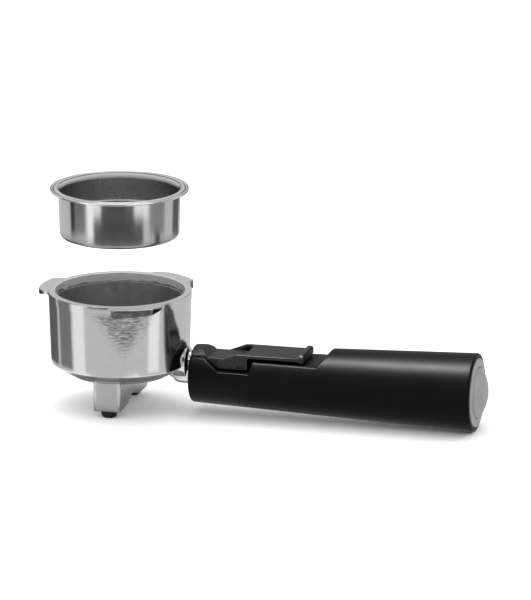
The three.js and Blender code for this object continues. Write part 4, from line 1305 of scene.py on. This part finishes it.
# %% Handle, clip, rubber and silver paint finishes
black = grained(
    "satin_black",
    (0.3 * MM, 2),
    (14 * MM, 3),
    (0.0014, 0.0014, 0.0017),
    (0.0023, 0.0023, 0.0027),
    (0.34, 0.08, 0.05),
    0.006 * MM,
    Specular_IOR_Level=0.1,
)
textured = grained(
    "textured_black",
    (0.32 * MM, 4),
    (8 * MM, 3),
    (0.009, 0.009, 0.0096),
    (0.017, 0.017, 0.018),
    (0.42, 0.16),
    0.035 * MM,
    Specular_IOR_Level=0.3,
)
rubber = grained(
    "black_rubber",
    (0.2 * MM, 3),
    None,
    (0.006, 0.006, 0.006),
    (0.012, 0.012, 0.012),
    (0.55, 0.15),
    0.01 * MM,
    Specular_IOR_Level=0.4,
)
silver = grained(
    "silver_paint",
    (0.15 * MM, 2),
    (5 * MM, 2),
    (0.34, 0.34, 0.355),
    (0.5, 0.5, 0.52),
    (0.46, 0.1),
    0.006 * MM,
    Metallic=0.75,
)

# %% Give every piece and every remaining CAD node its finish
new_pieces = {
    alu: [cup],
    satin: [spout],
    steel: [basket, screen],
    black: [handle],
    textured: [carrier, lever],
    rubber: [bpy.data.objects["soft_tip_front"], bpy.data.objects["soft_tip_rear"]],
    silver: [cap],
}
cad_nodes = {
    zinc: [
        "spout_screw",
        "spout_screw_washer",
        "carrier_screw",
        "tie_bolt",
        "tie_bolt_washer",
        "tie_bolt_lock_washer",
        "clip_pin",
    ],
    rubber: ["spout_gasket", "end_cap_ring"],
}
for finish, pieces in new_pieces.items():
    for piece in pieces:
        piece.data.materials.clear()
        piece.data.materials.append(finish.material)
for finish, nodes in cad_nodes.items():
    for node in nodes:
        kept = frame["nodes"][node]
        kept.material_slots[0].material = finish.material
        print(node, "keeps its CAD shape, in", finish.material.name)

# %% [markdown]
# ## Floor and light
#
# Polished metal shows its surroundings more than itself. A large soft light hangs straight above,
# the whole room is pale, and a few dark and bright cards stand round the object. The cards are
# seen only by reflections, like the flags that a studio keeps just out of view.

# %% Floor
FLOOR_HALF = 6  # metres
FLOOR_Z = -0.02 * MM


def flat_card(name, low, high, z):
    """A level rectangle between two corners (x, y)."""
    maker = bmesh.new()
    maker.faces.new([maker.verts.new((x, y, z)) for x, y in rectangle(low, high)])
    made = piece_from(name, maker)
    return made


floor = flat_card("floor", (-FLOOR_HALF, -FLOOR_HALF), (FLOOR_HALF, FLOOR_HALF), FLOOR_Z)
pale = Finish("pale_floor").set(Base_Color=(0.92, 0.92, 0.92), Roughness=1, Specular_IOR_Level=0)
floor.data.materials.append(pale.material)
floor.visible_glossy = False

# %% Room light and overhead lights
ROOM_LIGHT = 1.5
world = bpy.data.worlds.new("room")
bpy.context.scene.world = world
world.use_nodes = True
world.node_tree.nodes["Background"].inputs["Color"].default_value = (1, 1, 1, 1)
world.node_tree.nodes["Background"].inputs["Strength"].default_value = ROOM_LIGHT
world.cycles_visibility.glossy = False


def soft_light(name, place, target, size, power, gloss_only=False):
    lamp = bpy.data.objects.new(name, bpy.data.lights.new(name, "AREA"))
    lamp.data.shape = "RECTANGLE"
    lamp.data.size, lamp.data.size_y = size
    lamp.data.energy = power
    lamp.location = place
    lamp.rotation_mode = "QUATERNION"
    lamp.rotation_quaternion = (Vector(target) - Vector(place)).to_track_quat("-Z", "Y")
    lamp.visible_diffuse = not gloss_only
    bpy.context.collection.objects.link(lamp)
    print(name, power, "W")
    return lamp


soft_light("overhead", (-0.1, 0.2, 1.1), (0.02, 0, 0), (0.7, 0.5), 2.5)
gloss = soft_light(
    "handle_gloss", (-0.16, -0.05, 0.85), (0.06, 0, 0), (0.16, 0.26), 21, gloss_only=True
)
# Bare metal would mirror this strong light as a white spot, so only black pieces receive it.
black_pieces = bpy.data.collections.new("lit_by_handle_gloss")
for piece in (handle, lever, carrier):
    black_pieces.objects.link(piece)
gloss.light_linking.receiver_collection = black_pieces


# %% What reflections see
def glowing(made, shade):
    """An even glow that only reflections see."""
    glow = Finish(made.name).set(
        Base_Color=(0, 0, 0),
        Specular_IOR_Level=0,
        Emission_Color=(1, 1, 1),
        Emission_Strength=shade,
    )
    made.data.materials.append(glow.material)
    made.visible_camera = made.visible_diffuse = False
    made.visible_shadow = made.visible_transmission = False
    return made


# Level cards just under the floor: two corners in metres, the height in mm and the glow.
for name, low, high, z, shade in (
    ("mirror_floor", (-3, -3), (3, 3), -0.3, 0.62),
    ("mirror_floor_left", (-0.13, -0.07), (-0.082, 0.02), -0.1, 1.0),
    ("mirror_floor_right", (-0.046, -0.07), (-0.01, 0.0), -0.1, 0.95),
):
    glowing(flat_card(name, low, high, z * MM), shade)
# A dark disc under the cup is a painted shadow: reflections see it where the floor under the cup
# would be in shade.
UNDER_CUP_Z = -0.05 * MM
shadow_under_cup = turned(
    "mirror_under_cup", [(0, UNDER_CUP_Z), (CUP_FOOT_R, UNDER_CUP_Z)], joined=False, steps=64
)
glowing(shadow_under_cup, 0.2)
ROOM_R = 2.6  # metres
room = turned(
    "mirror_room",
    [spoke(ROOM_R, a) for a in arc(0, QUARTER, 12)],
    x=0,
    joined=False,
    steps=48,
)
glowing(room, 0.55)

# %% Reflection cards
TO_CAMERA = degrees(atan2(back.y, back.x))


def card(name, first, last, radius, z0, z1, shade):
    """An upright curved card round the cup, between two angles from the camera's direction."""
    maker = bmesh.new()
    count = max(2, int(abs(last - first) / 4))
    feet = []
    for turn in arc(first, last, count):
        a = radians(TO_CAMERA + turn)
        feet.append([maker.verts.new(upright(radius, a, z)) for z in (z0, z1)])
    for (a, b), (c, d) in zip(feet, feet[1:]):
        maker.faces.new((a, c, d, b))
    made = piece_from(name, maker)
    return glowing(made, shade)


CUP_CARDS = 82 * MM
BASKET_CARDS = 88 * MM
# Angles run anticlockwise from the camera, so negative ones lie to its left. Heights are in mm.
for name, first, last, radius, z0, z1, shade in (
    ("cup_dark_left", -150, -104, CUP_CARDS, 1, 46, 0.12),
    ("cup_grey_left", -98, -71, CUP_CARDS, 1, 46, 0.2),
    ("cup_bright_left", -68, -49, CUP_CARDS, 1, 46, 0.95),
    ("cup_bright_right", 40, 56, CUP_CARDS, 1, 46, 1.0),
    ("basket_dark_left", -94, -83, BASKET_CARDS, 52, 110, 0.02),
    ("basket_grey_left", -83, -59, BASKET_CARDS, 52, 110, 0.2),
    ("basket_bright_left", -55, -44, BASKET_CARDS, 50, 110, 1.2),
    ("basket_bright_left_mid", -44, -30, BASKET_CARDS, 60, 110, 1.1),
    ("basket_bright_left_top", -30, -21, BASKET_CARDS, 70, 110, 0.8),
    ("basket_dark_front_top", -19, 10, BASKET_CARDS, 70, 110, 0.08),
    ("basket_dark_front_mid", -29, 25, BASKET_CARDS, 60, 69.8, 0.08),
    ("basket_dark_front_low", -43, 42, BASKET_CARDS, 43, 59.8, 0.07),
    ("basket_bright_right_top", 12, 26, BASKET_CARDS, 70, 110, 1.2),
    ("basket_bright_right_mid", 26, 50, BASKET_CARDS, 60, 110, 1.1),
    ("basket_grey_right", 54, 86, BASKET_CARDS, 52, 110, 0.28),
    ("basket_dark_right", 110, 139, BASKET_CARDS, 52, 110, 0.12),
):
    card(name, first, last, radius, z0 * MM, z1 * MM, shade)

# %% Colours as the sensor sees them
bpy.context.scene.view_settings.view_transform = "Standard"
